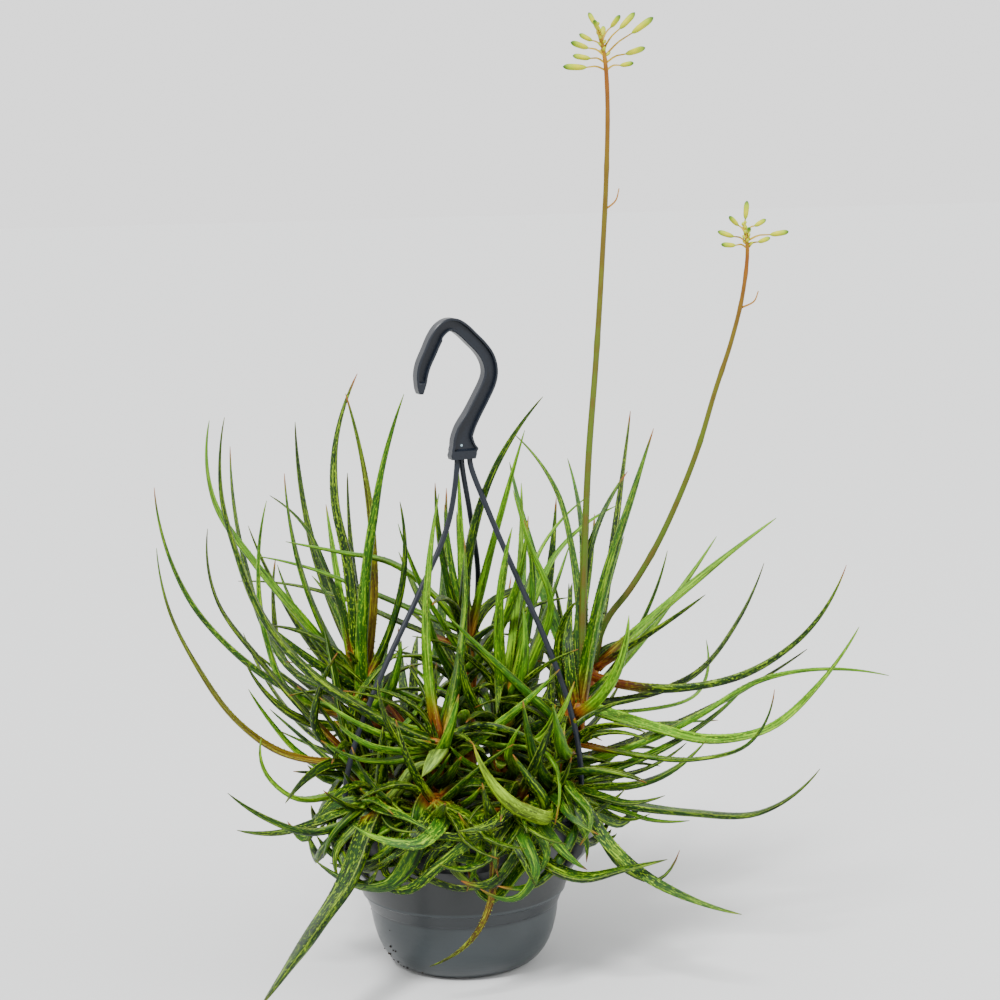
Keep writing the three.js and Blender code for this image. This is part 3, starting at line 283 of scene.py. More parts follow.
# Plant tables: the leaves and stalks of part.mjs. A leaf's row is the share of the stem that it grows at,
# its half width and points on it. Fill is how many more grow, between which bearings, lengths and lifts
heads = {
    "left_back": {"foot": [-48, 14], "top": [-62, 18, 172], "leaves": [
        [0.75, 3.6, [-114, 21, 174], [-160, 24, 223], [-179, 28, 290]],
        [1, 3.2, [-109, 35, 229], [-141, 47, 273], [-144, 60, 326]],
        [0.9, 2.9, [-105, 36, 180], [-129, 62, 238], [-138, 90, 306]],
        [0.75, 3.6, [-101, 12, 167], [-115, 1, 231], [-109, -8, 286]],
        [1, 2.1, [-70, 30, 215], [-94, 61, 265], [-113, 75, 278]],
        [1, 2.8, [-70, 34, 215], [-80, 60, 274]],
        [0.9, 4, [-67, 27, 242], [-75, 33, 297], [-59, 40, 354]],
        [0.85, 4, [-47, 13, 250], [-59, 10, 344]],
        [0.9, 4.6, [-56, 5, 234], [-43, -7, 305], [-29, -15, 348]],
        [1, 2.3, [-72, 42, 205], [-89, 70, 225]],
        [0.95, 2.6, [-88, 36, 200], [-104, 55, 237]],
        [0.7, 2.8, [-107, 52, 176], [-115, 76, 203], [-115, 100, 231]],
        [0.9, 2.6, [-33, 5, 225], [-31, -10, 283]],
        [0.7, 3.6, [54, -48, 140], [53, -62, 126], [49, -74, 106]],
    ], "fill": [5, 200, 340, 70, 110, 10, 60]},
    "left": {"foot": [-50, -6], "top": [-62, -9, 128], "leaves": [
        [1, 3.4, [-118, -14, 143], [-160, -23, 207], [-172, -30, 263]],
        [1, 2.8, [-115, -4, 185], [-146, -2, 232], [-148, 0, 267]],
        [0.6, 2.5, [-93, 3, 127], [-115, 13, 149], [-127, 20, 166]],
        [0.7, 3.2, [-95, -30, 112], [-114, -38, 131], [-115, -45, 152]],
        [0.8, 2.2, [-80, -28, 126], [-97, -50, 133]],
        [0.9, 3, [-84, -28, 151], [-82, -34, 174], [-70, -40, 200]],
    ], "fill": [5, 20, 330, 60, 100, 15, 70]},
    "left_front": {"foot": [-12, -26], "top": [-14, -42, 148], "leaves": [
        [1, 4.3, [-100, -50, 196], [-135, -62, 272], [-136, -70, 332]],
        [0.95, 4, [-52, -68, 145], [-80, -84, 161]],
        [0.85, 5.1, [-8, -62, 136], [-13, -70, 118]],
        [0.9, 4.8, [-4, -62, 152], [8, -72, 176]],
        [1, 3.7, [-22, -34, 214], [-15, -26, 290]],
        [0.9, 4.2, [2, -30, 200], [8, -24, 262]],
        [0.95, 3.5, [-43, -58, 155], [-60, -66, 164], [-78, -72, 178]],
        [0.85, 3.7, [-30, -56, 142], [-52, -66, 144], [-76, -74, 157]],
        [0.9, 3.3, [-24, -64, 152], [-37, -70, 159]],
        [0.35, 4.2, [4, -50, 120], [22, -66, 124]],
        [0.3, 4.2, [-2, -52, 112], [6, -74, 126]],
    ], "fill": [6, 130, 470, 50, 100, 10, 60]},
    "centre_back": {"foot": [5, 30], "top": [6, 30, 196], "leaves": [
        [1, 3, [-33, 16, 240], [-68, 7, 251], [-100, 0, 259]],
        [1, 2.2, [-46, 33, 217], [-85, 37, 232], [-122, 40, 240]],
        [0.9, 2.2, [-44, 51, 203], [-84, 71, 216], [-137, 95, 218]],
        [0.95, 3.2, [21, 24, 259], [37, 15, 323]],
        [0.85, 3.2, [14, 8, 275], [52, -10, 345]],
        [1, 3.2, [-5, 15, 237], [-10, 0, 292]],
        [1, 2.6, [-2, 42, 235], [-5, 50, 271]],
    ], "fill": [8, 60, 330, 70, 140, 15, 75]},
    "centre": {"foot": [24, -2], "top": [27, -5, 162], "leaves": [
        [0.9, 3.2, [38, -20, 168], [19, -38, 191]],
        [0.6, 3.2, [45, -30, 144], [54, -55, 169]],
        [0.95, 2.8, [45, -32, 184], [70, -50, 200]],
        [1, 2.5, [67, 24, 251], [100, 40, 268]],
        [1, 2.5, [55, 35, 250], [85, 60, 273]],
        [1, 2.6, [35, 14, 242], [35, 30, 287]],
        [0.9, 2.6, [56, -17, 223], [43, -24, 260], [35, -30, 291]],
        [0.9, 3.4, [26, -22, 225], [34, -35, 270]],
        [0.95, 3.6, [42, -13, 222], [38, -20, 272]],
        [0.8, 3.4, [49, -50, 142], [59, -58, 158], [68, -60, 176]],
        [0.35, 3.8, [14, -30, 118], [0, -52, 126], [-10, -66, 136]],
        [0.35, 4, [30, -32, 120], [24, -58, 132], [30, -70, 150]],
    ], "fill": [7, 150, 440, 60, 120, 0, 72]},
    "right": {"foot": [56, -18], "top": [72, -24, 162], "leaves": [
        [1, 3.6, [123, -31, 143], [173, -38, 136], [235, -50, 200]],
        [0.5, 3.2, [122, -17, 137], [190, -3, 163], [263, 10, 154]],
        [0.8, 2.4, [119, 14, 148], [156, 50, 145]],
        [0.7, 2.6, [128, -46, 133], [162, -63, 142], [179, -80, 180]],
        [1, 2.5, [92, 10, 225], [104, 35, 250]],
        [0.8, 4.8, [82, -24, 225], [103, -21, 290], [115, -20, 325]],
        [1, 3.2, [80, -5, 245], [107, 20, 292]],
        [1, 2.8, [66, 12, 270], [37, 40, 316]],
        [1, 2.6, [78, 32, 255], [72, 60, 296]],
    ], "fill": [4, 200, 380, 70, 120, 10, 65]},
    "right_low": {"foot": [46, -28], "top": [56, -33, 118], "leaves": [
        [0.9, 3.1, [120, 0, 130], [163, 40, 154]],
        [0.9, 4.2, [123, -37, 103], [175, -44, 100], [212, -50, 127]],
        [0.8, 2.8, [98, -55, 119], [115, -70, 123]],
        [1, 2.8, [110, -13, 118], [131, 0, 127]],
        [0.6, 2.4, [78, -44, 108], [95, -52, 103], [112, -60, 109]],
        [0.6, 2.4, [80, -32, 106], [111, -34, 97], [135, -35, 97]],
        [0.8, 3.6, [70, -54, 107], [88, -72, 94], [114, -74, 89]],
        [0.9, 3.6, [74, -50, 108], [94, -64, 80], [112, -66, 68], [132, -64, 78]],
        [0.9, 4.3, [68, -56, 108], [92, -72, 76], [125, -80, 54], [160, -88, 42]],
        [0.6, 3.8, [64, -58, 108], [80, -72, 94], [84, -72, 76]],
        [0.5, 3.4, [56, -60, 107], [66, -80, 94], [80, -82, 84]],
        [0.9, 4, [60, -64, 109], [72, -78, 94], [64, -86, 80]],
    ], "fill": [4, 100, 330, 50, 75, 5, 60]},
    "right_back": {"foot": [56, 24], "top": [84, 28, 172], "leaves": [
        [0.95, 4, [145, 25, 161], [200, 23, 183], [235, 20, 235]],
        [1, 3.6, [151, 46, 223], [200, 60, 255]],
        [1, 2.8, [129, 10, 204], [149, 0, 220]],
        [0.75, 3.4, [141, 46, 159], [175, 62, 191], [194, 75, 224]],
        [0.7, 2.1, [149, 69, 143], [161, 110, 168]],
    ], "fill": [5, 30, 150, 120, 180, 15, 65]},
    "front_right": {"foot": [26, -42], "top": [32, -50, 116], "leaves": [
        [0.8, 5.2, [36, -74, 109], [58, -88, 84], [89, -92, 86], [119, -88, 90]],
        [0.9, 5.9, [48, -74, 106], [38, -90, 110], [20, -96, 122], [4, -96, 150]],
        [1, 4.5, [46, -66, 108], [38, -78, 118], [23, -82, 136]],
        [0.8, 3.8, [22, -78, 108], [20, -90, 70], [11, -90, 44], [-16, -88, 24]],
        [0.7, 4.5, [30, -78, 108], [40, -92, 82], [30, -94, 68], [8, -94, 79]],
        [0.7, 3.3, [28, -78, 107], [40, -92, 93], [49, -90, 78]],
        [0.9, 4, [36, -78, 106], [50, -88, 98], [66, -84, 92]],
        [0.9, 3.5, [24, -70, 112], [7, -88, 109], [3, -92, 96]],
        [0.9, 4.5, [26, -80, 108], [12, -93, 98], [-8, -94, 92]],
        [0.8, 4.5, [44, -72, 109], [58, -82, 96], [74, -78, 84]],
        [0.6, 4, [38, -76, 107], [46, -90, 90], [36, -92, 76]],
        [0.7, 4.2, [30, -80, 107], [22, -93, 90], [26, -93, 75]],
    ], "fill": [4, 160, 390, 50, 85, 5, 60]},
    "front_left": {"foot": [-16, -48], "top": [-15, -54, 117], "leaves": [
        [0.8, 6.4, [-18, -78, 109], [-26, -92, 82], [-46, -87, 67], [-81, -80, 81]],
        [0.8, 5, [-8, -79, 108], [-22, -92, 93], [-40, -87, 92], [-61, -80, 101]],
        [0.7, 3.5, [-14, -79, 106], [-14, -88, 80], [-5, -88, 69]],
        [0.9, 3.8, [0, -76, 108], [8, -90, 94], [0, -92, 82], [-5, -90, 71]],
        [0.7, 3.5, [-2, -76, 107], [5, -88, 86], [13, -88, 75]],
        [1, 4.2, [-6, -78, 108], [-14, -88, 98], [-28, -90, 100]],
        [0.9, 4.7, [-30, -74, 109], [-46, -84, 98], [-66, -74, 90]],
        [0.6, 4.5, [-20, -80, 108], [-34, -91, 94], [-54, -85, 84]],
        [0.8, 4.5, [6, -80, 108], [18, -93, 96], [38, -92, 88]],
        [0.6, 4.2, [-4, -80, 107], [4, -93, 90], [22, -93, 80]],
    ], "fill": [5, 180, 390, 50, 85, 0, 60]},
    "rim_left": {"foot": [-42, -32], "top": [-48, -38, 117], "leaves": [
        [0.6, 4.4, [-68, -54, 105], [-94, -58, 102], [-136, -60, 126]],
        [0.8, 3.7, [-72, -44, 106], [-101, -38, 93], [-131, -30, 92]],
        [0.8, 7.4, [-50, -68, 110], [-61, -94, 80], [-77, -130, 60], [-98, -200, 40]],
        [0.5, 3.7, [-46, -70, 107], [-45, -86, 86], [-28, -86, 77]],
        [1, 3.9, [-48, -58, 116], [-42, -66, 130], [-33, -72, 137]],
        [0.9, 3.7, [-38, -70, 112], [-20, -82, 108], [-2, -90, 100]],
        [0.7, 3.4, [-40, -72, 108], [-30, -87, 101], [-14, -91, 99]],
        [0.7, 3.7, [-52, -66, 110], [-44, -82, 108], [-35, -88, 97]],
        [0.9, 4.4, [-62, -56, 109], [-76, -62, 96], [-80, -54, 80]],
        [0.7, 4.4, [-52, -66, 108], [-62, -76, 92], [-54, -82, 80]],
        [0.6, 4.1, [-42, -72, 107], [-48, -86, 94], [-64, -80, 86]],
    ], "fill": [4, 160, 340, 50, 75, 0, 60]},
    "back_left": {"foot": [-24, 46], "top": [-30, 52, 128], "leaves": [],
        "fill": [12, 60, 200, 70, 210, 13, 70]},
    "back_right": {"foot": [34, 50], "top": [38, 56, 130], "leaves": [],
        "fill": [12, -10, 120, 70, 210, 14, 70]},
}

# A bud's row is its share of the stalk, the lengths of its stem and its body, and its way out
stalks = {
    "tall": {"head": "right", "radius": 2.4, "far_radius": 1.2, "line": [
        [71, -23, 146], [74, -16, 200], [77, -8, 250], [81, 0, 305], [87, 10, 360], [92, 17, 415],
        [96, 20, 470], [97.5, 21, 515], [96, 21, 540], [92, 21, 556],
    ], "buds": [
        [0.935, 12, 14, [-1, -0.2, 0.05]], [0.945, 10, 11, [-1, 0.5, 0.2]],
        [0.955, 12, 12, [-0.9, -0.5, 0.3]], [0.965, 8, 8, [-0.9, 0.2, 0.5]], [0.935, 9, 8, [1, -0.4, 0.15]],
        [0.945, 14, 13, [1, 0.4, 0.3]], [0.955, 20, 15, [1, -0.1, 0.7]], [0.965, 15, 13, [0.9, 0.3, 0.9]],
        [0.975, 10, 9, [0.7, -0.6, 0.9]], [0.985, 6, 8, [-0.5, 0.4, 1]], [0.98, 7, 8, [-0.3, -0.8, 0.6]],
        [0.97, 9, 9, [0.1, 0.9, 0.6]],
    ]},
    "short": {"head": "right_back", "radius": 2.2, "far_radius": 1.1, "line": [
        [83, 28, 160], [86, 29, 186], [93, 30, 202], [106, 31, 218], [122, 32, 243], [136, 33, 271],
        [149, 33, 303], [160, 33, 338], [170, 32, 368], [177, 31, 396], [180, 30, 424], [178, 30, 438],
    ], "buds": [
        [0.95, 8, 9, [-1, -0.3, 0.1]], [0.96, 9, 10, [-1, 0.4, 0.35]], [0.975, 8, 8, [-0.8, -0.4, 0.8]],
        [0.95, 8, 8, [1, 0.4, 0.3]], [0.965, 14, 11, [1, -0.2, 0.15]], [0.98, 7, 8, [0.8, 0.3, 0.4]],
        [0.99, 5, 10, [0.1, 0, 1]], [0.97, 7, 7, [0, -1, 0.4]], [0.96, 8, 8, [0.1, 1, 0.3]],
    ]},
}

# A wire's top in the hook's own plane, and rows of (share of the way out to the lug, height)
wires = {
    "left": {"top": [-4.4, -1], "bow": 0, "swing": [
        [0.09, 268], [0.36, 227], [0.63, 190], [0.88, 150], [0.985, 124], [1, 100],
    ]},
    "right": {"top": [3.9, -1], "bow": 0, "swing": [
        [0.16, 276], [0.42, 238], [0.68, 202], [0.88, 168], [0.985, 136], [1, 100],
    ]},
    "back": {"top": [-0.4, 1.6], "bow": 12, "swing": [
        [0.12, 272], [0.39, 232], [0.66, 196], [0.88, 160], [0.985, 130], [1, 100],
    ]},
}

WIRE_DROP = 3
for wire_name, wire in wires.items():
    turn, lean = math.radians(LUG_ANGLES[wire_name]), math.radians(HOOK_TURN)
    end_x, end_y, _ = polar(LUG_RADIUS, turn)
    strip, behind = wire["top"]
    x = HOOK_X + strip * math.cos(lean) - behind * math.sin(lean)
    y = strip * math.sin(lean) + behind * math.cos(lean)
    line = [(x, y, HOOK_FOOT + SOCKET_DEPTH), (x, y, HOOK_FOOT - WIRE_DROP)]
    for share, height in wire["swing"]:
        bow = wire["bow"] * 4 * share * (1 - share)
        line.append((x + (end_x - x) * share + bow, y + (end_y - y) * share, height))
    line.append((end_x, end_y, LUG_TOP - LUG_SOCKET + CLEARANCE))
    wire["curve"] = Curve(line)
for stalk in stalks.values():
    stalk["curve"] = Curve(stalk["line"])
for head in heads.values():
    foot, top = head["foot"], head["top"]
    knee = [low + (high - low) * KNEE_OUT for low, high in zip(foot, top)]
    knee.append(SOIL_HEIGHT + (top[2] - SOIL_HEIGHT) * KNEE_UP)
    head["curve"] = Curve([[*foot, SOIL_HEIGHT - STEM_SUNK], [*foot, SOIL_HEIGHT], knee, top])


# Leaves' middle lines: laid out and bent clear of each other as in part.mjs
def on_stem(head, share):
    """The point of a head's stem at a share of its height over the soil"""
    (x, y), (top_x, top_y, top_z) = head["foot"], head["top"]
    lean = (share * share + share) / 2
    return [x + (top_x - x) * lean, y + (top_y - y) * lean, SOIL_HEIGHT + (top_z - SOIL_HEIGHT) * share]


def through(points, shares):
    """Points of a smooth line through a few points, at shares of the way along them"""
    points = np.array(points, float)
    places = np.concatenate([[0], np.cumsum(np.linalg.norm(np.diff(points, axis=0), axis=1))])
    last = len(points) - 1
    low = np.maximum(np.arange(last + 1) - 1, 0)
    high = np.minimum(np.arange(last + 1) + 1, last)
    slopes = (points[high] - points[low]) / (places[high] - places[low])[:, None]
    slopes[0] = 2 * slopes[0] - slopes[1]
    slopes[last] = 2 * slopes[last] - slopes[last - 1]
    at = np.asarray(shares, float) * places[last]
    i = np.clip(np.searchsorted(places, at, side="left") - 1, 0, last - 1)
    span = (places[i + 1] - places[i])[:, None]
    t = (at - places[i])[:, None] / span
    near = points[i] * (1 + 2 * t) * (1 - t) ** 2 + slopes[i] * span * t * (1 - t) ** 2
    return near + points[i + 1] * t * t * (3 - 2 * t) + slopes[i + 1] * span * t * t * (t - 1)


def half_width(half, share, taper=TAPER):
    """Half width of a leaf: a clasping root, a long even stretch, a slender tip"""
    return half * (1 - share**taper) * (1 + CLASP * (1 - share) ** CLASP_FADE) + TIP_HALF * share


def chain_of(head_name, half, points, seed):
    """The leaf's middle line as a chain of points"""
    length = sum(math.dist(a, b) for a, b in zip(points, points[1:]))
    count = min(MOST_STRETCHES, math.floor(length / RING_SPACING + 0.5))
    count = max(len(points), LEAST_STRETCHES, count)
    shares = np.arange(count + 1) / count
    radii = half_width(half, shares) + LEAF_ROOM
    return {"head": head_name, "half": half, "line": through(points, shares), "radii": radii, "seed": seed}


leaves = []
for head_number, (head_name, head) in enumerate(heads.items()):
    first_seed = head_number * SEEDS_A_HEAD
    for i, (share, half, *way) in enumerate(head["leaves"]):
        leaves.append(chain_of(head_name, half, [on_stem(head, share), *way], first_seed + i))
    count, first, last, shortest, longest, lowest, highest = head["fill"]
    for i in range(count):
        seed = first_seed + FILL_SEED + i
        place = (i + 0.5) / count
        turn = (place * GOLDEN * count) % 1
        bearing = math.radians(first + (last - first) * turn + FILL_STRAY * (draw(seed) - 0.5))
        lift = math.radians(lowest + (highest - lowest) * place)
        length = longest + (shortest - longest) * draw(seed + 0.3)
        root = on_stem(head, FILL_START + (1 - FILL_START) * place)
        low = lift + math.radians(FILL_BEND * (draw(seed + 0.8) - FILL_SAG))
        points = [root]
        for share, angle in ((0.5, low), (1, lift)):
            way = polar(share * length * math.cos(angle), bearing, share * length * math.sin(angle))
            points.append([a + b for a, b in zip(root, way)])
        leaves.append(chain_of(head_name, FILL_HALF + FILL_HALF_MORE * draw(seed + 0.6), points, seed))

# What the leaves keep off: (head, points, radius, whether its own head's leaves keep off it too)
fixed = [(name, head["curve"].spaced(4), STEM_RADIUS + STEM_ROOM, False) for name, head in heads.items()]
fixed += [(None, wire["curve"].spaced(16), WIRE_RADIUS, False) for wire in wires.values()]
fixed += [(stalk["head"], stalk["curve"].spaced(16), stalk["radius"], False) for stalk in stalks.values()]
for angle in LUG_ANGLES.values():
    x, y, _ = polar(LUG_RADIUS, math.radians(angle))
    upright = np.array([[x, y, z] for z in np.linspace(LUG_FLOOR, LUG_TOP - RIM_ROOM, 3)])
    fixed.append((None, upright, LUG_WIDTH / 2 + LUG_ROOM, False))


def bend_clear(leaves, fixed, rounds):
    """Every leaf is bent, a little in each of the given rounds, away from another head, a wire, a stalk or
    the pot that it touches
    """
    longest = max(len(leaf["line"]) for leaf in leaves)
    last = np.array([len(leaf["line"]) - 1 for leaf in leaves])
    line = np.zeros((len(leaves), longest, 3))
    radii = np.zeros((len(leaves), longest))
    # Every stretch of every chain: the chain, its number there, and the half widths at its two ends
    rows, still = [], []
    for k, leaf in enumerate(leaves):
        line[k, : last[k] + 1] = leaf["line"]
        radii[k, : last[k] + 1] = leaf["radii"]
        rows += [(k, i, *radii[k, i : i + 2]) for i in range(last[k])]
    rest = line.copy()
    moving = len(rows)
    for k, (_, points, radius, _) in enumerate(fixed, len(leaves)):
        wide = np.broadcast_to(radius, len(points))
        rows += [(k, i, *wide[i : i + 2]) for i in range(len(points) - 1)]
        still += [points[i : i + 2] for i in range(len(points) - 1)]
    rows, still = np.array(rows), np.array(still)
    chain, number = rows[:, :2].astype(int).T
    near_radius, far_radius = rows[:, 2:].T
    owner, index = chain[:moving], number[:moving]

    def ends_now():
        return (np.concatenate([line[owner, index + end], still[:, end]]) for end in (0, 1))

    starts, ends = ends_now()
    length = np.linalg.norm(ends - starts, axis=1)
    heads_of = [leaf["head"] for leaf in leaves] + [name for name, *_ in fixed]
    head_ids = np.array([list(heads).index(name) if name else -1 for name in heads_of])[chain]
    same_head = head_ids[:moving, None] == head_ids
    kept_off = np.array([True] * len(leaves) + [own for *_, own in fixed])[chain]
    allowed = (owner[:, None] < chain) & ~(same_head & ~kept_off)
    reach = (near_radius + length)[:moving, None] + near_radius + length + HEAD_GAP
    steps = np.arange(longest)

    def push(chains, places, ways, strength=1):
        at = np.maximum(places, STIFF_ROOT)
        share = steps / last[chains][:, None] / at[:, None]
        weight = np.minimum(1, share) ** SWING * strength
        weight[steps > last[chains][:, None]] = 0
        np.add.at(move, chains, ways[:, None, :] * weight[:, :, None])
        np.add.at(weights, chains, weight)

    # The spots on each stretch that the pot, soil and floor push on
    spot_chain = np.repeat(np.arange(len(leaves)), last * POT_SPOTS)
    spot_step = np.concatenate([np.arange(1, count * POT_SPOTS + 1) / POT_SPOTS for count in last])
    spot_low = np.minimum(spot_step.astype(int), last[spot_chain] - 1)
    spot_share = spot_step - spot_low
    spot_place = spot_step / last[spot_chain]

    def at_spots(values, share):
        return values[spot_chain, spot_low] * (1 - share) + values[spot_chain, spot_low + 1] * share

    def push_spots(which, ways):
        push(spot_chain[which], spot_place[which], ways[which], POT_PUSH)

    spot_radius = at_spots(radii, spot_share) + LEAF_GAP
    middle = RIM_RADIUS - RIM_MIDDLE
    for round_number in range(rounds):
        move, weights = np.zeros_like(line), np.zeros_like(radii)
        starts, ends = ends_now()
        apart = np.linalg.norm(starts[:moving, None] - starts, axis=2)
        one, two = np.nonzero(allowed & (apart <= reach))
        u, v, w = ends[one] - starts[one], ends[two] - starts[two], starts[one] - starts[two]
        uu, vv, uv, uw, vw = ((a * b).sum(1) for a, b in ((u, u), (v, v), (u, v), (u, w), (v, w)))
        s = np.clip((uv * vw - uw * vv) / np.maximum(uu * vv - uv * uv, 1e-9), 0, 1)
        t = (uv * s + vw) / vv
        s = np.where(t < 0, np.clip(-uw / uu, 0, 1), np.where(t > 1, np.clip((uv - uw) / uu, 0, 1), s))
        t = np.clip(t, 0, 1)
        way = w + u * s[:, None] - v * t[:, None]
        step_one, step_two = number[one] + s, number[two] + t
        same = same_head[one, two]
        rooted = (step_one * length[one] < ROOT_ZONE) & (step_two * length[two] < ROOT_ZONE)
        wide = near_radius[one] * (1 - s) + far_radius[one] * s
        wide_two = near_radius[two] * (1 - t) + far_radius[two] * t
        need = np.where(same, (wide + wide_two) * SAME_HEAD + LEAF_GAP, wide + wide_two + HEAD_GAP)
        distance = np.linalg.norm(way, axis=1)
        touching = (distance < need) & ~(same & rooted)
        one, two, depth = one[touching], two[touching], (need - distance)[touching]
        way = way[touching] / np.maximum(distance[touching], 1e-6)[:, None]
        place_one = step_one[touching] / last[chain[one]]
        free = two < moving
        place_two = np.where(free, step_two[touching] / last[np.where(free, chain[two], 0)], 0)
        share = np.where(free, place_one / np.maximum(place_one + place_two, 1e-9), 1)
        push(chain[one], place_one, way * (depth * share)[:, None])
        back = -way * (depth * (1 - share))[:, None]
        push(chain[two][free], place_two[free], back[free])

        at = at_spots(line, spot_share[:, None])
        out = np.hypot(at[:, 0], at[:, 1])
        beside = out - middle
        above = at[:, 2] - (POT_HEIGHT - RIM_ROUND)
        need = spot_radius + RIM_ROOM
        inside = np.hypot(line[:, :, 0], line[:, :, 1]) < middle
        crosses = inside[spot_chain, spot_low] != inside[spot_chain, spot_low + 1]
        distance = np.where(above > 0, np.hypot(beside, above), np.abs(beside))
        close = distance < need
        ways = np.zeros_like(at)
        ways[:, 2] = np.sqrt(np.maximum(need * need - beside * beside, 0)) - above
        push_spots(close & crosses, ways)
        depth = (need - distance) / np.maximum(distance, 1e-9)
        ways[:, :2] = at[:, :2] * (beside * depth / out)[:, None]
        ways[:, 2] = np.where(above > 0, above * depth, 0)
        push_spots(close & ~crosses & (distance > 0), ways)
        ground = np.where(beside < 0, SOIL_HEIGHT + 1, 0)
        ways[:, :2] = 0
        ways[:, 2] = ground + spot_radius - at[:, 2]
        push_spots((ways[:, 2] > 0) & (spot_step > 1), ways)

        line += move / np.maximum(1, weights)[:, :, None]
        if round_number < EASED_ROUNDS:
            bend = line - rest
            around = (bend[:, :-2] + bend[:, 2:]) / 2 - bend[:, 1:-1]
            inner = steps[1:-1] < last[:, None]
            line[:, 1:-1] += EASE * around * inner[:, :, None]
        for i in range(1, longest):
            here = last >= i
            way = line[here, i] - line[here, i - 1]
            size = np.linalg.norm(rest[here, i] - rest[here, i - 1], axis=1)
            line[here, i] = line[here, i - 1] + way * (size / np.linalg.norm(way, axis=1))[:, None]
    for k, leaf in enumerate(leaves):
        leaf["line"] = line[k, : last[k] + 1]


bend_clear(leaves, fixed, ROUNDS)

# The thicket: short leaves low on the stems, which fill the dark inside and bend clear of the long ones
THICKET = {"left_back": 8, "left": 8, "left_front": 11, "centre_back": 14, "centre": 16, "right": 12}
THICKET |= {"right_low": 9, "right_back": 9, "front_right": 6, "front_left": 6, "rim_left": 6}
THICKET |= {"back_left": 11, "back_right": 11}
THICKET_ROUNDS = 70
THICKET_SEED = 1000
THICKET_SEEDS_A_HEAD = 30
THICKET_TURN = 2.4
THICKET_STRAY = 1.2
THICKET_LENGTH = (42, 52)
THICKET_HALF = (2.7, 1.5)
# The heads at the front rim, whose thicket hangs, and the least lift of a leaf and its stray, in degrees
HANGING = ("front_right", "front_left", "rim_left")
HANGING_LIFT = (-20, 35)
PLAIN_LIFT = (5, 65)
thicket = []
for head_number, (head_name, count) in enumerate(THICKET.items()):
    lowest, stray = HANGING_LIFT if head_name in HANGING else PLAIN_LIFT
    for i in range(count):
        seed = THICKET_SEED + head_number * THICKET_SEEDS_A_HEAD + i
        bearing = drawn(THICKET_TURN * i, THICKET_STRAY, seed)
        lift = math.radians(drawn(lowest, stray, seed + 0.2))
        length = drawn(*THICKET_LENGTH, seed + 0.3)
        root = np.array(on_stem(heads[head_name], 0.15 + 0.75 * (i + 0.5) / count))
        out = np.array(polar(1, bearing))
        points = [root]
        for share, angle in ((0.5, lift + 0.5), (1, lift)):
            points.append(root + share * length * (out * math.cos(angle) + np.array([0, 0, math.sin(angle)])))
        thicket.append(chain_of(head_name, drawn(*THICKET_HALF, seed + 0.6), points, seed))

# Leaves that drape over the rim: the head, the bearings between which they cross it, and how many
DRAPES = {"rim_left": (205, 238, 4), "front_left": (232, 272, 6), "front_right": (266, 308, 6)}
DRAPES |= {"right_low": (300, 336, 5), "back_left": (88, 150, 7), "back_right": (25, 92, 7)}
DRAPE_SEED = 1500
DRAPE_SEEDS_A_HEAD = 20
DRAPE_ROOT = (0.45, 0.5)
DRAPE_SWING = (24, 26)
DRAPE_LOW = (70, 22)
DRAPE_CURL = (4, 12)
DRAPE_HALF = (2.9, 1.3)
for head_number, (head_name, (first, last, count)) in enumerate(DRAPES.items()):
    for i in range(count):
        seed = DRAPE_SEED + head_number * DRAPE_SEEDS_A_HEAD + i
        over = first + (last - first) * (i + draw(seed)) / count
        swing = drawn(*DRAPE_SWING, seed + 0.4) * (1 if draw(seed + 0.1) > 0.5 else -1)
        low = drawn(*DRAPE_LOW, seed + 0.7)
        tip = low + drawn(*DRAPE_CURL, seed + 0.8)
        points = [on_stem(heads[head_name], drawn(*DRAPE_ROOT, seed + 0.5))]
        # Each bend's share of the swing, its radius and its height
        for share, radius, height in ((0, 81, 107), (0.4, 88, 92), (0.75, 87, low), (1.1, 91, tip)):
            points.append(polar(radius, math.radians(over + swing * share), height))
        thicket.append(chain_of(head_name, drawn(*DRAPE_HALF, seed + 0.6), points, seed))
settled = [(leaf["head"], leaf["line"], leaf["radii"], True) for leaf in leaves]
bend_clear(thicket, fixed + settled, THICKET_ROUNDS)


# Making shapes: straight tubes whose corners are laid out along a line
FIRST_SIDE = np.array([0.1, 1, 0.02])
templates = {}


def straight(sides, stations):
    """A capped tube of unit radius up the Z axis from 0 to 1: its mesh, each corner's number and its share"""
    if (sides, stations) not in templates:
        bm = bmesh.new()
        middle = Matrix.Translation((0, 0, 0.5))
        bmesh.ops.create_cone(bm, cap_ends=True, segments=sides, radius1=1, radius2=1, depth=1, matrix=middle)
        uprights = [edge for edge in bm.edges if abs(edge.verts[0].co.z - edge.verts[1].co.z) > 0.5]
        if stations > 1:
            bmesh.ops.subdivide_edges(bm, edges=uprights, cuts=stations - 1, use_grid_fill=True)
        mesh = mesh_of("straight", bm)
        x, y, z = np.array([vertex.co for vertex in mesh.vertices]).T
        corner = np.round(np.arctan2(y, x) / (2 * math.pi / sides)).astype(int) % sides
        templates[sides, stations] = (mesh, corner, z)
    return templates[sides, stations]


def frames_along(points, side):
    """The tangent, side and up at each point of a line, the side carried along from its start"""
    tangents = np.gradient(points, axis=0)
    tangents /= np.linalg.norm(tangents, axis=1)[:, None]
    sides = []
    for tangent in tangents:
        side = unit(side - tangent * side.dot(tangent))
        sides.append(side)
    return tangents, np.array(sides), np.cross(tangents, sides)


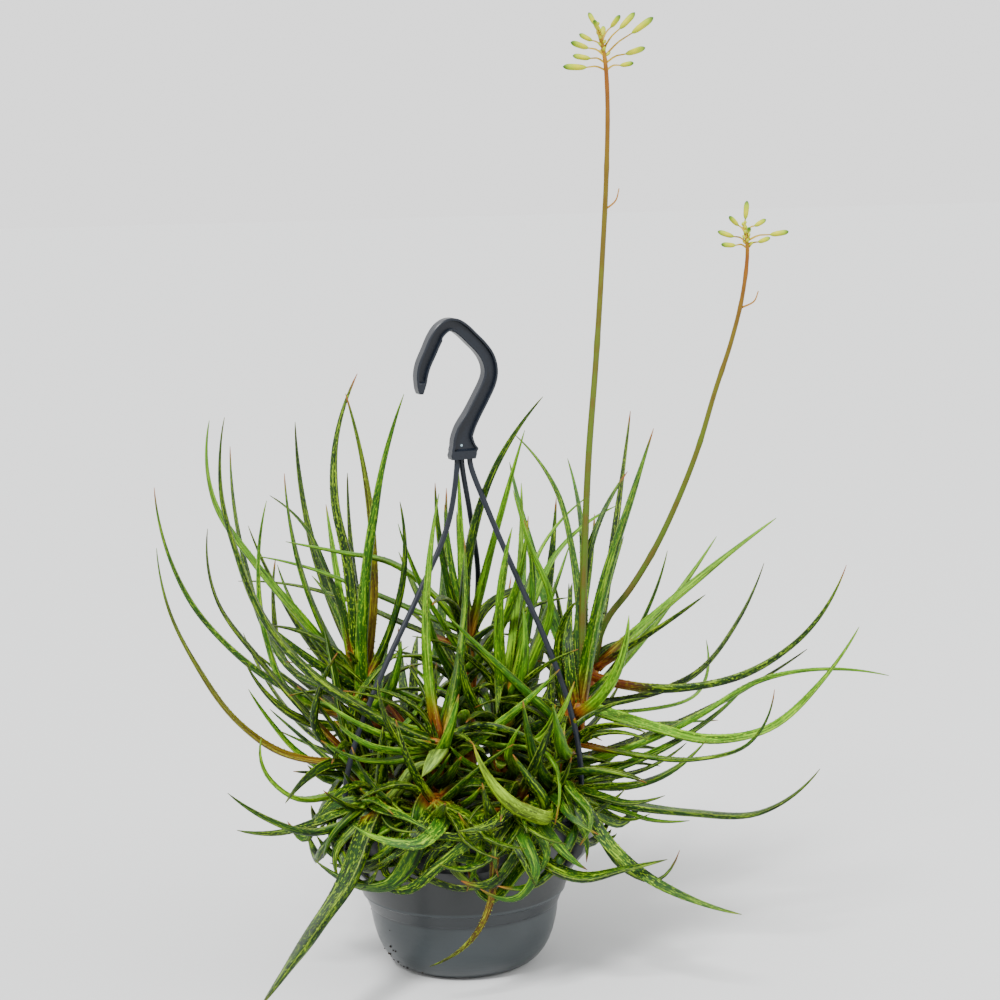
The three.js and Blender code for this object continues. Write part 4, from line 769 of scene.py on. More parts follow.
class Growth:
    """What a piece of the plant is built from: straight tubes laid along lines, and what its material reads.
    The grain is (across, millimetres along, number) and the tint (tone, share of the length, dryness)"""

    def __init__(self):
        self.tubes, self.places, self.grains, self.tints = [], [], [], []

    def add(self, mesh, places, grain, tint):
        """One tube. Each part of its grain and tint is one number or an array over its corners"""
        rows = [np.broadcast_to(np.asarray(part, float), len(places)) for part in (*grain, *tint, 1)]
        self.tubes.append(mesh)
        self.places.append(places)
        self.grains.append(np.stack(rows[:3], axis=1))
        self.tints.append(np.stack(rows[3:], axis=1))

    def tube(self, points, radii, number, tint=(0, None, 0), sides=8):
        """A round tube along points with a radius at each. A part of the tint that is None is the share"""
        points = np.asarray(points, float)
        mesh, corner, share = straight(sides, len(points) - 1)
        station = np.round(share * (len(points) - 1)).astype(int)
        _, sides_at, ups = frames_along(points, FIRST_SIDE)
        angle = corner * 2 * math.pi / sides
        radius = np.asarray(radii, float)[station]
        places = points[station] + sides_at[station] * (radius * np.cos(angle))[:, None]
        places += ups[station] * (radius * np.sin(angle))[:, None]
        length = np.linalg.norm(np.diff(points, axis=0), axis=1).sum()
        tint = [share if part is None else part for part in tint]
        self.add(mesh, places, (np.cos(angle), share * length, number), tint)

    def build(self, name, material):
        """The piece, which replaces the node of its name"""
        bm = bmesh.new()
        for tube in self.tubes:
            bm.from_mesh(tube)
        mesh = mesh_of(name, bm)
        mesh.vertices.foreach_set("co", np.concatenate(self.places).ravel() * MM)
        grain = mesh.attributes.new("grain", "FLOAT_VECTOR", "POINT")
        grain.data.foreach_set("vector", np.concatenate(self.grains).ravel())
        tint = mesh.attributes.new("tint", "FLOAT_COLOR", "POINT")
        tint.data.foreach_set("color", np.concatenate(self.tints).ravel())
        mesh.update()
        return finish_piece(name, mesh, [material])


def smooth_step(values, low, high):
    t = np.clip((values - low) / (high - low), 0, 1)
    return t * t * (3 - 2 * t)


# Heads of leaves: succulent blades, channelled above and keeled below, with soft pale teeth on both margins,
# pale flecks in rows, browned tips, and dry husks of old leaves on the stems
leaf_skin, sockets, link = new_material("Waxy aloe leaf skin", Roughness=0.42, Specular_IOR_Level=0.15)
grain = add_node(leaf_skin, "Attribute", {"attribute_name": "grain"}).outputs["Vector"]
tint = add_node(leaf_skin, "Attribute", {"attribute_name": "tint"}).outputs["Color"]
across, _, number = add_node(leaf_skin, "SeparateXYZ", Vector=grain).outputs[:3]
tone, _, dryness = add_node(leaf_skin, "SeparateColor", Color=tint).outputs[:3]
# Flecks a millimetre or so wide, stronger on some leaves than on others
fleck_place = add_node(leaf_skin, "VectorMath", TIMES, _0=grain, _1=(2.0, 0.17, 7.3))
fleck_noise = add_node(leaf_skin, "TexNoise", Vector=fleck_place, Scale=2.3, Detail=2.5, Roughness=0.55)
flecks = add_node(leaf_skin, "ValToRGB", stops=[(0.56, 0.0), (0.66, 0.75)], Fac=fleck_noise)
own_number = add_node(leaf_skin, "Math", {"operation": "ROUND"}, _0=number)
chance = add_node(leaf_skin, "TexWhiteNoise", {"noise_dimensions": "1D"}, W=own_number)
strength = add_node(leaf_skin, "MapRange", Value=chance, To_Min=0.2)
flecks = add_node(leaf_skin, "Math", TIMES, _0=flecks, _1=strength)
# Streaks that run up the leaf, partly its own mottling: painted shade darkens the green in some and painted
# lime highlights lighten others
cloud_place = add_node(leaf_skin, "VectorMath", TIMES, _0=grain, _1=(2.6, 0.05, 7.3))
clouds = add_node(leaf_skin, "TexNoise", Vector=cloud_place, Scale=1.0, Detail=5.0, Roughness=0.62)
greens = [(0.0, "#0d2803"), (0.25, "#1b4405"), (0.5, "#336a07"), (0.75, "#5a9008"), (0.9, "#7c9210")]
skin = add_node(leaf_skin, "ValToRGB", stops=[*greens, (1.0, "#668432")], Fac=tone)
shade = add_node(leaf_skin, "ValToRGB", stops=[(0.36, 0.14), (0.58, 0.92)], Fac=clouds)
skin = add_node(leaf_skin, "Mix", TINTED, _0=1.0, _6=skin, _7=shade)
painted_highlight_streaks = add_node(leaf_skin, "ValToRGB", stops=[(0.55, 0.0), (0.7, 0.65)], Fac=clouds)
# Pale margins, and the browns of dry skin over it all
edge = add_node(leaf_skin, "Math", {"operation": "ABSOLUTE"}, _0=across)
margin = add_node(leaf_skin, "ValToRGB", stops=[(0.96, 0.0), (1.0, 0.3)], Fac=edge)
browns = [(0.3, "#3a1508"), (0.5, "#7a3210"), (0.7, "#a8702a")]
dry_skin = add_node(leaf_skin, "ValToRGB", stops=browns, Fac=clouds)
# Painted lime highlights, then the flecks, the pale margins and the browns of dry skin, laid over the green
# in turn
layers = [(painted_highlight_streaks, colour("#94b40c")), (flecks, colour("#8cb010"))]
layers += [(margin, colour("#a8be4c")), (dryness, dry_skin)]
for amount, over in layers:
    skin = add_node(leaf_skin, "Mix", COLOURS, _0=amount, _6=skin, _7=over)
link(skin.outputs[2], sockets["Base Color"])
pores = add_node(leaf_skin, "TexNoise", Vector=fleck_place, Scale=8.0, Detail=3.0)
relief = add_node(leaf_skin, "Bump", Strength=0.3, Distance=0.0006, Height=pores)
link(relief.outputs[0], sockets["Normal"])

BLADE_SIDES = 12
BLADE_STEP = 5
BLADE_STATIONS = (8, 48)
KEEL = 1.15
LEAST_KEEL = 0.3
# How high the middle of the upper face stands over the margins, in half widths, at shares of the length
CROWN_SHARES = [0, 0.6, 1]
CROWN = [-0.22, 0.08, 0.26]
WAVE = 0.05
WAVE_LENGTH = 9
POINT = 0.4
# One turn of pattern for each leaf number, and the part of it that goes with the depth of the section
NUMBERS = 97
DEPTH_PATTERN = 0.33
TOOTH = 1.2
TOOTH_BASE = 0.75
TOOTH_SPACING = 3.6
TOOTH_SUNK = 0.25
TOOTH_LEAN = 0.35
TOOTH_THICKNESS = 0.6
TOOTH_SLIMMING = 0.9
LAST_TOOTH = 0.96
# The shares of the length over which a dry tip starts and a dry root ends, and how far dryness fades
TIP_DRIES = (0.93, 0.99)
ROOT_DRIES = (0.04, 0.22)
DRY_FADE = 0.95


def add_blade(growth, chain, half, seed, first_side, tone, dry, teeth=True, taper=TAPER):
    """A leaf along a chain of points. dry says how dry it is at its tip, at its root and all over"""
    length = np.linalg.norm(np.diff(chain, axis=0), axis=1).sum()
    stations = int(np.clip(round(length / BLADE_STEP), *BLADE_STATIONS))
    shares = np.linspace(0, 1, stations + 1)
    points = through(chain, shares)
    tangents, sides_at, ups = frames_along(points, first_side)
    wides = half_width(half, shares, taper) * (1 + WAVE * np.sin(shares * length / WAVE_LENGTH + seed))
    wides[-1] *= POINT
    mesh, corner, share = straight(BLADE_SIDES, stations)
    station = np.round(share * stations).astype(int)
    angle = corner * 2 * math.pi / BLADE_SIDES
    rise, wide = np.sin(angle), wides[station]
    over = np.where(rise > 0.01, np.interp(share, CROWN_SHARES, CROWN), KEEL) * rise * wide
    over = np.where(rise < -0.01, np.minimum(over, LEAST_KEEL * rise), over)
    places = points[station] + sides_at[station] * (np.cos(angle) * wide)[:, None]
    places += ups[station] * over[:, None]
    dry_tip, dry_root, dry_all = dry
    dryness = np.maximum(dry_tip * smooth_step(share, *TIP_DRIES), dry_all * (1 - DRY_FADE * share))
    dryness = np.maximum(dryness, dry_root * (1 - smooth_step(share, *ROOT_DRIES)))
    number = float(seed) % NUMBERS
    grain = (np.cos(angle), share * length, number + DEPTH_PATTERN * over / wide)
    growth.add(mesh, places, grain, (tone, share, dryness))
    if not teeth:
        return
    thorn, thorn_corner, out = straight(3, 1)
    around = thorn_corner * 2 * math.pi / 3
    count = int(length / TOOTH_SPACING)
    lines = (points, tangents, sides_at, ups, wides)
    for i in range(1, count):
        for way in (1, -1):
            at = (i + 0.5 * draw(seed * 7 + i * 2.3 + way)) / count
            if at > LAST_TOOTH:
                continue
            low = min(int(at * stations), stations - 1)
            part = at * stations - low
            middle, tangent, side, up, edge = (row[low] * (1 - part) + row[low + 1] * part for row in lines)
            size = (0.55 + 0.45 * draw(seed * 3 + i + way)) * (1 - 0.5 * at)
            narrow = TOOTH_BASE * size * (1 - TOOTH_SLIMMING * out)
            reach = edge - TOOTH_SUNK + out * TOOTH * size
            spots = middle + side * (way * reach)[:, None]
            spots += up * (-way * np.sin(around) * narrow * TOOTH_THICKNESS)[:, None]
            spots += tangent * (np.cos(around) * narrow + out * TOOTH_LEAN * size)[:, None]
            growth.add(thorn, spots, (1.3 * way, at * length, number), (tone, at, 0.1 + 0.2 * out))


# Leaves unlike the rest, by head and number: pale blunt ones, a light one, and narrow ones that are drying
PALE = {("left_front", 2), ("front_left", 2), ("rim_left", 4)}
LIGHT = {("front_right", 1)}
DRIED = {("front_right", 3), ("left", 0), ("left_back", 7)}
LIGHT_TONE = 0.84
DRIED_AMOUNT = 0.6
DRIED_WIDTH = 0.72
BLUNT_TAPER = 6
# The lightest tone among the leaves of most heads, of the heads at the rim, and of the thicket. The rim's are
# kept low as painted shade, and the thicket's lower still, for older leaves and painted shade inside the
# plant
PLAIN_TONES = 0.78
RIM_SHADED_TONES = 0.4
THICKET_SHADED_TONES = 0.18
STEM_STATIONS = 11
STEM_TOP = 0.6
HUSKS = 7
HUSK_HALF = 2.6
HUSK_SIZE = (14, 10)
HUSK_TURN = 2.399
HUSK_STRAY = 6
HUSK_SEED = 900
HUSK_SEEDS_A_HEAD = 31
# A dead root that hangs over the rim
DEAD_ROOT = [(-56, -50, 104), (-72, -54, 101), (-75, -55, 88), (-70, -56, 76), (-74, -56, 66)]
DEAD_ROOT += [(-71, -56, 60)]
for head_number, (head_name, head) in enumerate(heads.items()):
    growth = Growth()
    stem_radii = [STEM_RADIUS - STEM_SWELL] * STEM_STATIONS + [STEM_RADIUS * STEM_TOP]
    growth.tube(head["curve"].spaced(STEM_STATIONS), stem_radii, 5.0, (0.3, None, 0.75), 12)
    for leaf in leaves + thicket:
        if leaf["head"] != head_name:
            continue
        line, seed = leaf["line"], leaf["seed"]
        reach = line[-1] - line[0]
        side = Vector((-reach[1], reach[0], 0)).normalized()
        roll = math.radians(ROLL * (draw(seed + 0.9) - 0.5))
        side.rotate(Matrix.Rotation(roll, 3, Vector(line[1] - line[0]).normalized()))
        own = (head_name, seed - head_number * SEEDS_A_HEAD)
        most = RIM_SHADED_TONES if head_name in DRAPES else PLAIN_TONES
        most = THICKET_SHADED_TONES if THICKET_SEED <= seed < DRAPE_SEED else most
        tone = 1.0 if own in PALE else LIGHT_TONE if own in LIGHT else draw(seed + 0.15) * most
        half, dried = (leaf["half"] * DRIED_WIDTH, DRIED_AMOUNT) if own in DRIED else (leaf["half"], 0)
        dry = (0.85 if draw(seed + 0.25) > 0.62 else 0.1, 0.88 if draw(seed + 0.35) > 0.5 else 0, dried)
        taper = BLUNT_TAPER if own in PALE or seed >= DRAPE_SEED else TAPER
        add_blade(growth, line, half, seed, np.array(side), tone, dry, taper=taper)
    head_seed = HUSK_SEED + head_number * HUSK_SEEDS_A_HEAD
    rise = np.array([0, 0, 1.0])
    for i in range(HUSKS):
        root = np.array(on_stem(head, 0.15 + 0.8 * (i + 0.5) / HUSKS))
        bearing = drawn(HUSK_TURN * i, HUSK_STRAY, head_seed + i)
        out = np.array(polar(1, bearing))
        size = drawn(*HUSK_SIZE, head_seed + i + 0.4)
        bend = root + out * (5 + size * 0.2) + rise * size * 0.2
        chain = np.array([root + out * 2, bend, root + out * (4 + size * 0.55) + rise * size * 0.5])
        side = np.cross(rise, out)
        add_blade(growth, chain, HUSK_HALF, head_seed + i, side, 0.5, (1, 1, 1), teeth=False)
    if head_name == "rim_left":
        growth.tube(Curve(DEAD_ROOT).spaced(30), np.linspace(0.8, 0.35, 31), 7.0, (0.4, None, 1.0), 6)
    growth.build("head_" + head_name, leaf_skin)

# Flower stalks: slim, matt and woody, olive low down and orange brown higher up, with nodes, a dried bract
# and a loose spray of closed yellow buds with green tips
stalk_rind, sockets, link = new_material("Flower stalk rind", Roughness=0.55, Specular_IOR_Level=0.2)
tint = add_node(stalk_rind, "Attribute", {"attribute_name": "tint"}).outputs["Color"]
grain = add_node(stalk_rind, "Attribute", {"attribute_name": "grain"}).outputs["Vector"]
kind, stalk_share, bud_share = add_node(stalk_rind, "SeparateColor", Color=tint).outputs[:3]
streak_place = add_node(stalk_rind, "VectorMath", TIMES, _0=grain, _1=(3, 0.06, 1))
streak_noise = add_node(stalk_rind, "TexNoise", Vector=streak_place, Scale=1.5, Detail=4.0)
streaks = add_node(stalk_rind, "ValToRGB", stops=[(0.42, 0.0), (0.62, 0.5)], Fac=streak_noise)
rinds = [(0.0, "#2c4804"), (0.55, "#465404"), (0.8, "#5e4e05"), (0.93, "#7a4606"), (0.98, "#987606")]
rind = add_node(stalk_rind, "ValToRGB", stops=[*rinds, (1.0, "#a09a06")], Fac=stalk_share)
rind = add_node(stalk_rind, "Mix", COLOURS, _0=streaks, _6=rind, _7=colour("#4e2a0a"))
bud_tones = [(0.0, "#8c9c00"), (0.4, "#aaa800"), (0.75, "#8aa000"), (0.97, "#2a5604")]
petals = add_node(stalk_rind, "ValToRGB", stops=bud_tones, Fac=bud_share)
is_bud = add_node(stalk_rind, "ValToRGB", stops=[(0.45, 0.0), (0.55, 1.0)], Fac=kind)
both = add_node(stalk_rind, "Mix", COLOURS, _0=is_bud, _6=rind, _7=petals)
link(both.outputs[2], sockets["Base Color"])

STALK_STATIONS = 60
STALK_NODES = {"tall": [0.28, 0.55, 0.74, 0.8, 0.86, 0.91], "short": [0.3, 0.55, 0.7, 0.83, 0.9]}
NODE_SWELL = 0.2
NODE_SPREAD = 0.006
BRACTS = {"tall": (0.74, (0.7, 0, 1)), "short": (0.83, (1, 0, 0.9))}
BUD_STATIONS = 14
TOP_BUDS = 14
TOP_BUDS_START = 0.955
TOP_BUDS_SPAN = 0.044
TOP_BUD_RADII = [0.45, 0.45, 0.8, 1.0, 1.05, 0.95, 0.7, 0.25]
THREAD_RADII = (0.75, 0.42)
BRACT_RADII = (0.75, 0.35)
# What the tint says of a tube: bare thread, dry bract, or a bud along which its tones change
THREAD_TINT, BRACT_TINT, BUD_TINT = (0, 0.985, 0), (0, 0.95, 0), (1, None, None)
for stalk_name, stalk in stalks.items():
    growth = Growth()
    curve = stalk["curve"]
    shares = np.linspace(0, 1, STALK_STATIONS + 1)
    radii = stalk["radius"] + (stalk["far_radius"] - stalk["radius"]) * shares
    for node in STALK_NODES[stalk_name]:
        radii += NODE_SWELL * np.exp(-(((shares - node) / NODE_SPREAD) ** 2))
    growth.tube(curve.spaced(STALK_STATIONS), radii, 3.0, sides=12)
    for number, (share, stem, length, way) in enumerate(stalk["buds"]):
        root = curve.at(share)
        out = unit(np.array(way, float))
        neck = root + out * stem + (0, 0, BUD_RISE)
        bud = Curve([root, (root + neck) / 2 + (0, 0, BUD_RISE), neck, neck + out * length])
        swell = stem / (stem + length)
        threads = [bud.at(s) for s in np.linspace(0, swell, 6)]
        growth.tube(threads, np.linspace(*THREAD_RADII, 6), number, THREAD_TINT, 6)
        body = np.linspace(0, 1, BUD_STATIONS + 1)
        swelling = (1 - np.abs(2 * body - 1) ** 3.2) ** 0.6
        radii = np.maximum((1.0 + 0.075 * length) * swelling * (0.82 + 0.18 * body), 0.3)
        growth.tube([bud.at(swell + (1 - swell) * s) for s in body], radii, number, BUD_TINT, 12)
    for i in range(TOP_BUDS):
        root = curve.at(TOP_BUDS_START + TOP_BUDS_SPAN * i / (TOP_BUDS - 1))
        out = unit(np.array(polar(1, 2.4 * i, 0.7 + 0.06 * i)))
        size = 4.2 - 0.14 * i
        line = [root + out * size * s for s in np.linspace(0, 1, len(TOP_BUD_RADII))]
        growth.tube(line, TOP_BUD_RADII, 40 + i, BUD_TINT, 8)
        growth.tints[-1][:, 2] *= 0.75
    share, way = BRACTS[stalk_name]
    root = curve.at(share)
    tip = root + unit(np.array(way, float)) * BRACT_LENGTH
    bract = Curve([root, (root + tip) / 2 + (way[0] * BRACT_CURL, 0, -1), tip])
    growth.tube(bract.spaced(9), np.linspace(*BRACT_RADII, 10), 8.0, BRACT_TINT, 6)
    growth.build("flower_stalk_" + stalk_name, stalk_rind)

# Wires: satin moulded rods that swing out from the hook's foot and drop through collars into the lugs
satin = {"Roughness": 0.36, "Specular_IOR_Level": 0.3}
rod_plastic, sockets, link = new_material("Moulded slate polypropylene, satin", **satin)
place = add_node(rod_plastic, "TexCoord").outputs["Object"]
speckle = add_node(rod_plastic, "TexNoise", Vector=place, Scale=900.0, Detail=2.0)
slate = add_node(rod_plastic, "ValToRGB", stops=[(0.3, "#0a0f17"), (0.7, "#10161f")], Fac=speckle)
link(slate.outputs[0], sockets["Base Color"])
WIRE_STATIONS = 72
WIRE_SIDES = 14
# Each collar's rise over the lug, its height and its radius
WIRE_COLLARS = [(0, 3.5, 2.6), (3.5, 1.2, 2.2)]
for wire_name, wire in wires.items():
    growth = Growth()
    line = wire["curve"].spaced(WIRE_STATIONS)
    growth.tube(line, [WIRE_RADIUS] * len(line), 1.0, sides=WIRE_SIDES)
    x, y, _ = wire["curve"].points[-1]
    for rise, height, radius in WIRE_COLLARS:
        collar = [(x, y, LUG_TOP + rise + height * s) for s in (0, 0.15, 0.85, 1)]
        growth.tube(collar, [radius * 0.85, radius, radius, radius * 0.85], 1.0, sides=WIRE_SIDES)
    growth.build("wire_" + wire_name, rod_plastic)

# Hook: a flat moulded strip with raised flanges round a thin web, bent to an open crook over a square foot
HOOK_STATIONS = 140
HOOK_ROUNDING = 0.5
FLANGE_DRAFT = 0.3
# Where along the strip the recess runs, where the crook's seat is narrowed, and where the foot grows square
RECESS = (0.075, 0.09, 0.918, 0.928)
SEAT = (0.255, 0.26, 0.36, 0.365)
SEAT_CUT = 0.22
SQUARE = (0.8, 0.86)
DOT_PLACE = (-1.4, 314)
DOT_SIZE = (0.8, 0.35, 0.8, 1)
# Rows of (x, z, half width), in the strip's own plane
hook_line = Curve([
    [-26, 346, 1.2], [-25.9, 349.2, 2.3], [-25.5, 353, 3.1], [-25, 357.5, 3.6], [-23.4, 363, 3.9],
    [-19.8, 370.2, 4], [-15.8, 378, 4.1], [-12, 382.7, 4.2], [-7.5, 385.2, 4.1], [-3, 384.8, 4.1],
    [1.5, 381.8, 4.2], [6.6, 376.8, 4.2], [12, 371.2, 4.2], [15.8, 365.6, 4.3], [17.6, 360, 4.3],
    [17.7, 355, 4.3], [16.2, 350, 4.4], [11.6, 341.5, 4.5], [5.9, 331.9, 4.6], [1.6, 324.7, 5.3],
    [-0.6, 319.2, 6], [-0.5, 315.4, 6.9], [0.2, 311.8, 8.3], [-0.6, 308.8, 8.2], [-0.8, HOOK_FOOT, 7.4],
])


def between(share, start, full, fading, end):
    """1 between two shares and 0 beyond them, with soft ends"""
    return float(smooth_step(share, start, full) * (1 - smooth_step(share, fading, end)))


web, deep = HOOK_WEB / 2, HOOK_DEPTH / 2
mesh, corner, share = straight(20, HOOK_STATIONS)
bm = bmesh.new()
bm.from_mesh(mesh)
for vertex, k, s in zip(bm.verts, corner, share):
    x, z, half = hook_line.point(s)
    ahead, behind = hook_line.point(min(s + 0.002, 1)), hook_line.point(max(s - 0.002, 0))
    along_x, along_z = unit((ahead - behind)[:2])
    along_x *= 1 - float(smooth_step(s, *SQUARE))
    floor_depth = deep + (web - deep) * between(s, *RECESS)
    lip = half - HOOK_RIM
    outline = [
        (half, 0), (half, deep - HOOK_ROUNDING), (half - HOOK_ROUNDING, deep), (lip + FLANGE_DRAFT, deep),
        (lip, floor_depth), (0, floor_depth), (-lip, floor_depth),
        (-lip - FLANGE_DRAFT, deep), (-half + HOOK_ROUNDING, deep), (-half, deep - HOOK_ROUNDING),
    ]
    outline += [(-a, -d) for a, d in outline]
    outward, depth = outline[k]
    outward *= 1 - SEAT_CUT * between(s, *SEAT) * (outward < 0)
    vertex.co = (x - along_z * outward, depth, z + along_x * outward)
bmesh.ops.recalc_face_normals(bm, faces=bm.faces)
# Two small dots on the web's faces, in a pale material that is a painted highlight
for side in (-1, 1):
    spot = Matrix.Translation((DOT_PLACE[0], side * web, DOT_PLACE[1])) @ Matrix.Diagonal(DOT_SIZE)
    made = bmesh.ops.create_icosphere(bm, subdivisions=2, radius=1, matrix=spot)
    paint(made["verts"], 1)
bmesh.ops.rotate(bm, cent=(0, 0, 0), matrix=Matrix.Rotation(math.radians(HOOK_TURN), 3, "Z"), verts=bm.verts)
bmesh.ops.translate(bm, vec=(HOOK_X, 0, 0), verts=bm.verts)
# The pale dots' material: a painted highlight
highlight_dot = new_material("Painted highlight dot on polypropylene", Base_Color=colour("#7f949c"), Roughness=0.4)[0]
hook = mesh_piece("hook", bm, [rod_plastic, highlight_dot])
crisp(hook, 35)

# Pot: an injection-moulded bowl under a flared collar, dark slate with a satin sheen, dusted with soil
pot_plastic, sockets, link = new_material("Moulded slate polypropylene pot", Roughness=0.4)
place = add_node(pot_plastic, "TexCoord").outputs["Object"]
mottle = add_node(pot_plastic, "TexNoise", Vector=place, Scale=400.0, Detail=3.0)
slate = add_node(pot_plastic, "ValToRGB", stops=[(0.3, "#0f1416"), (0.7, "#161c1f")], Fac=mottle)
# Painted light by height: paler below the belt, darker from the belt up to the step, a painted highlight
# along the step's edge and painted shade over the collar
height = add_node(pot_plastic, "SeparateXYZ", Vector=place).outputs["Z"]
height_share = add_node(pot_plastic, "Math", {"operation": "DIVIDE"}, _0=height, _1=POT_HEIGHT * MM)
belt, step = BELT_HEIGHT / POT_HEIGHT, STEP_HEIGHT / POT_HEIGHT
painted_light_bands = [(belt - 0.018, "#2b3235"), (belt, "#161c20"), (step - 0.006, "#161c20")]
painted_light_bands += [(step, "#293134"), (step + 0.01, "#293134"), (step + 0.02, "#0c1113")]
painted_light_by_height = add_node(pot_plastic, "ValToRGB", stops=painted_light_bands, Fac=height_share)
toned = add_node(pot_plastic, "Mix", COLOURS, _0=0.75, _6=slate, _7=painted_light_by_height)
link(toned.outputs[2], sockets["Base Color"])
gloss = add_node(pot_plastic, "ValToRGB", stops=[(0.3, 0.31), (0.7, 0.35)], Fac=mottle)
link(gloss.outputs[0], sockets["Roughness"])

POT_STEPS = 120
POT_ROUNDING = 0.35
LUG_ROUNDING = 0.8
INNER_RISE = 1


def bowl_outline(inset, steps):
    """The bowl from the base up to the belt, drawn in by inset"""
    a = np.array([BASE_RADIUS - inset * 0.4, inset])
    b = np.array([BASE_RADIUS + BOWL_SWELL - inset, inset * 0.6 + BOWL_HEEL])
    c = np.array([BELT_RADIUS - inset, BELT_HEIGHT])
    return [tuple(a * (1 - t) ** 2 + 2 * b * t * (1 - t) + c * t * t) for t in np.linspace(0, 1, steps + 1)]


def collar_inside(inset):
    return [
        (RIM_RADIUS - inset, POT_HEIGHT),
        (RIM_RADIUS - inset, COLLAR_HEIGHT + INNER_RISE),
        (STEP_RADIUS - inset, STEP_HEIGHT + INNER_RISE),
    ]


def spun(outline, steps, rounding):
    """A turned shape from its outline of (radius, height), with its corners between the ends rounded"""
    bm = bmesh.new()
    points = [bm.verts.new((r, 0, z)) for r, z in outline]
    for a, b in zip(points, points[1:]):
        bm.edges.new((a, b))
    bmesh.ops.bevel(
        bm, geom=points[1:-1], offset=rounding, segments=2, profile=0.5, affect="VERTICES",
        clamp_overlap=True, material=-1,
    )
    bmesh.ops.spin(
        bm, geom=bm.verts[:] + bm.edges[:], cent=(0, 0, 0), axis=(0, 0, 1), angle=2 * math.pi, steps=steps,
        use_merge=True,
    )
    bmesh.ops.remove_doubles(bm, verts=bm.verts, dist=1e-4)
    bmesh.ops.recalc_face_normals(bm, faces=bm.faces)
    return bm


def in_metres(name, bm):
    bmesh.ops.scale(bm, vec=(MM, MM, MM), verts=bm.verts)
    return add_object(name, mesh_of(name, bm))


collar_outside = [
    (BELT_RADIUS + ROUNDING, BELT_HEIGHT + ROUNDING),
    (STEP_RADIUS - ROUNDING, STEP_HEIGHT - ROUNDING),
    (STEP_RADIUS + LEDGE, STEP_HEIGHT),
    (STEP_RADIUS + LEDGE, STEP_HEIGHT + LEDGE_HEIGHT),
    (RIM_RADIUS - RIM_LEAN, COLLAR_HEIGHT),
    (RIM_RADIUS + 2 * RIM_LEAN, POT_HEIGHT - BEAD_HEIGHT - ROUNDING),
    (RIM_RADIUS + BEAD, POT_HEIGHT - BEAD_HEIGHT),
    (RIM_RADIUS + BEAD, POT_HEIGHT - LEDGE),
    (RIM_RADIUS + RIM_LEAN, POT_HEIGHT),
]
inside = collar_inside(WALL) + bowl_outline(WALL, 12)[::-1]
outline = [(0, 0)] + bowl_outline(0, 16) + collar_outside + inside + [(0, WALL)]
shell = in_metres("shell", spun(outline, POT_STEPS, POT_ROUNDING))
bm = bmesh.new()
for i in range(DRAIN_COUNT):
    spot = Matrix.Translation(polar(DRAIN_CIRCLE, i * 2 * math.pi / DRAIN_COUNT))
    both = {"radius1": DRAIN_RADIUS, "radius2": DRAIN_RADIUS}
    bmesh.ops.create_cone(bm, cap_ends=True, segments=24, depth=6, matrix=spot, **both)
cutter = in_metres("drains", bm)
cut = shell.modifiers.new("drains", "BOOLEAN")
cut.object = cutter
cut.operation = "DIFFERENCE"
cut.solver = "EXACT"
bpy.context.view_layer.update()
drained = bpy.data.meshes.new_from_object(shell.evaluated_get(bpy.context.evaluated_depsgraph_get()))
bpy.data.objects.remove(shell)
bpy.data.objects.remove(cutter)
bm = bmesh.new()
bm.from_mesh(drained)
bmesh.ops.scale(bm, vec=(1 / MM, 1 / MM, 1 / MM), verts=bm.verts)
lug_outline = [
    (RIM_RADIUS - LUG_SUNK, LUG_TOP),
    (LUG_OUT, LUG_TOP),
    (LUG_OUT + LUG_SWELL, LUG_TOP - LUG_FACE),
    (LUG_OUT - LUG_CHIN_IN, LUG_TOP - LUG_CHIN),
    (STEP_RADIUS + LUG_HEEL, LUG_FLOOR),
    (RIM_RADIUS - LUG_SUNK, COLLAR_HEIGHT),
]
for angle in LUG_ANGLES.values():
    corners = [bm.verts.new((r, -LUG_WIDTH / 2, z)) for r, z in lug_outline]
    grown = bmesh.ops.extrude_face_region(bm, geom=[bm.faces.new(corners)])["geom"]
    far = [item for item in grown if isinstance(item, bmesh.types.BMVert)]
    bmesh.ops.translate(bm, vec=(0, LUG_WIDTH, 0), verts=far)
    verts = corners + far
    bmesh.ops.recalc_face_normals(bm, faces=list({face for vertex in verts for face in vertex.link_faces}))
    turn = Matrix.Rotation(math.radians(angle), 3, "Z")
    bmesh.ops.rotate(bm, cent=(0, 0, 0), matrix=turn, verts=verts)
    edges = list({edge for vertex in verts for edge in vertex.link_edges})
    bmesh.ops.bevel(bm, geom=edges, offset=LUG_ROUNDING, segments=3, profile=0.5, affect="EDGES", material=-1)
pot = mesh_piece("pot", bm, [pot_plastic])
crisp(pot, 30)

# Soil: dark peat with bark chips and a few pale grains, level with a fine unevenness
peat, sockets, link = new_material("Peat and bark potting soil", Roughness=0.95)
place = add_node(peat, "TexCoord").outputs["Object"]
crumbs = add_node(peat, "TexNoise", Vector=place, Scale=350.0, Detail=6.0)
peats = [(0.3, "#0e0906"), (0.55, "#1f140d"), (0.75, "#382718")]
link(add_node(peat, "ValToRGB", stops=peats, Fac=crumbs).outputs[0], sockets["Base Color"])
link(add_node(peat, "Bump", Strength=0.8, Distance=0.0015, Height=crumbs).outputs[0], sockets["Normal"])
bark = new_material("Bark chip", Base_Color=colour("#3a2210"), Roughness=0.85)[0]
perlite = new_material("Perlite grain", Base_Color=colour("#b9b5a8"), Roughness=0.9)[0]
SOIL_STEPS = 96
SOIL_RINGS = 24
SOIL_BORDER = 4
SOIL_RIPPLE = 0.7
SOIL_GRIT = 0.4
inset = WALL + CLEARANCE
wall_side = bowl_outline(inset, 10) + collar_inside(inset)[1:][::-1]
top_side = []
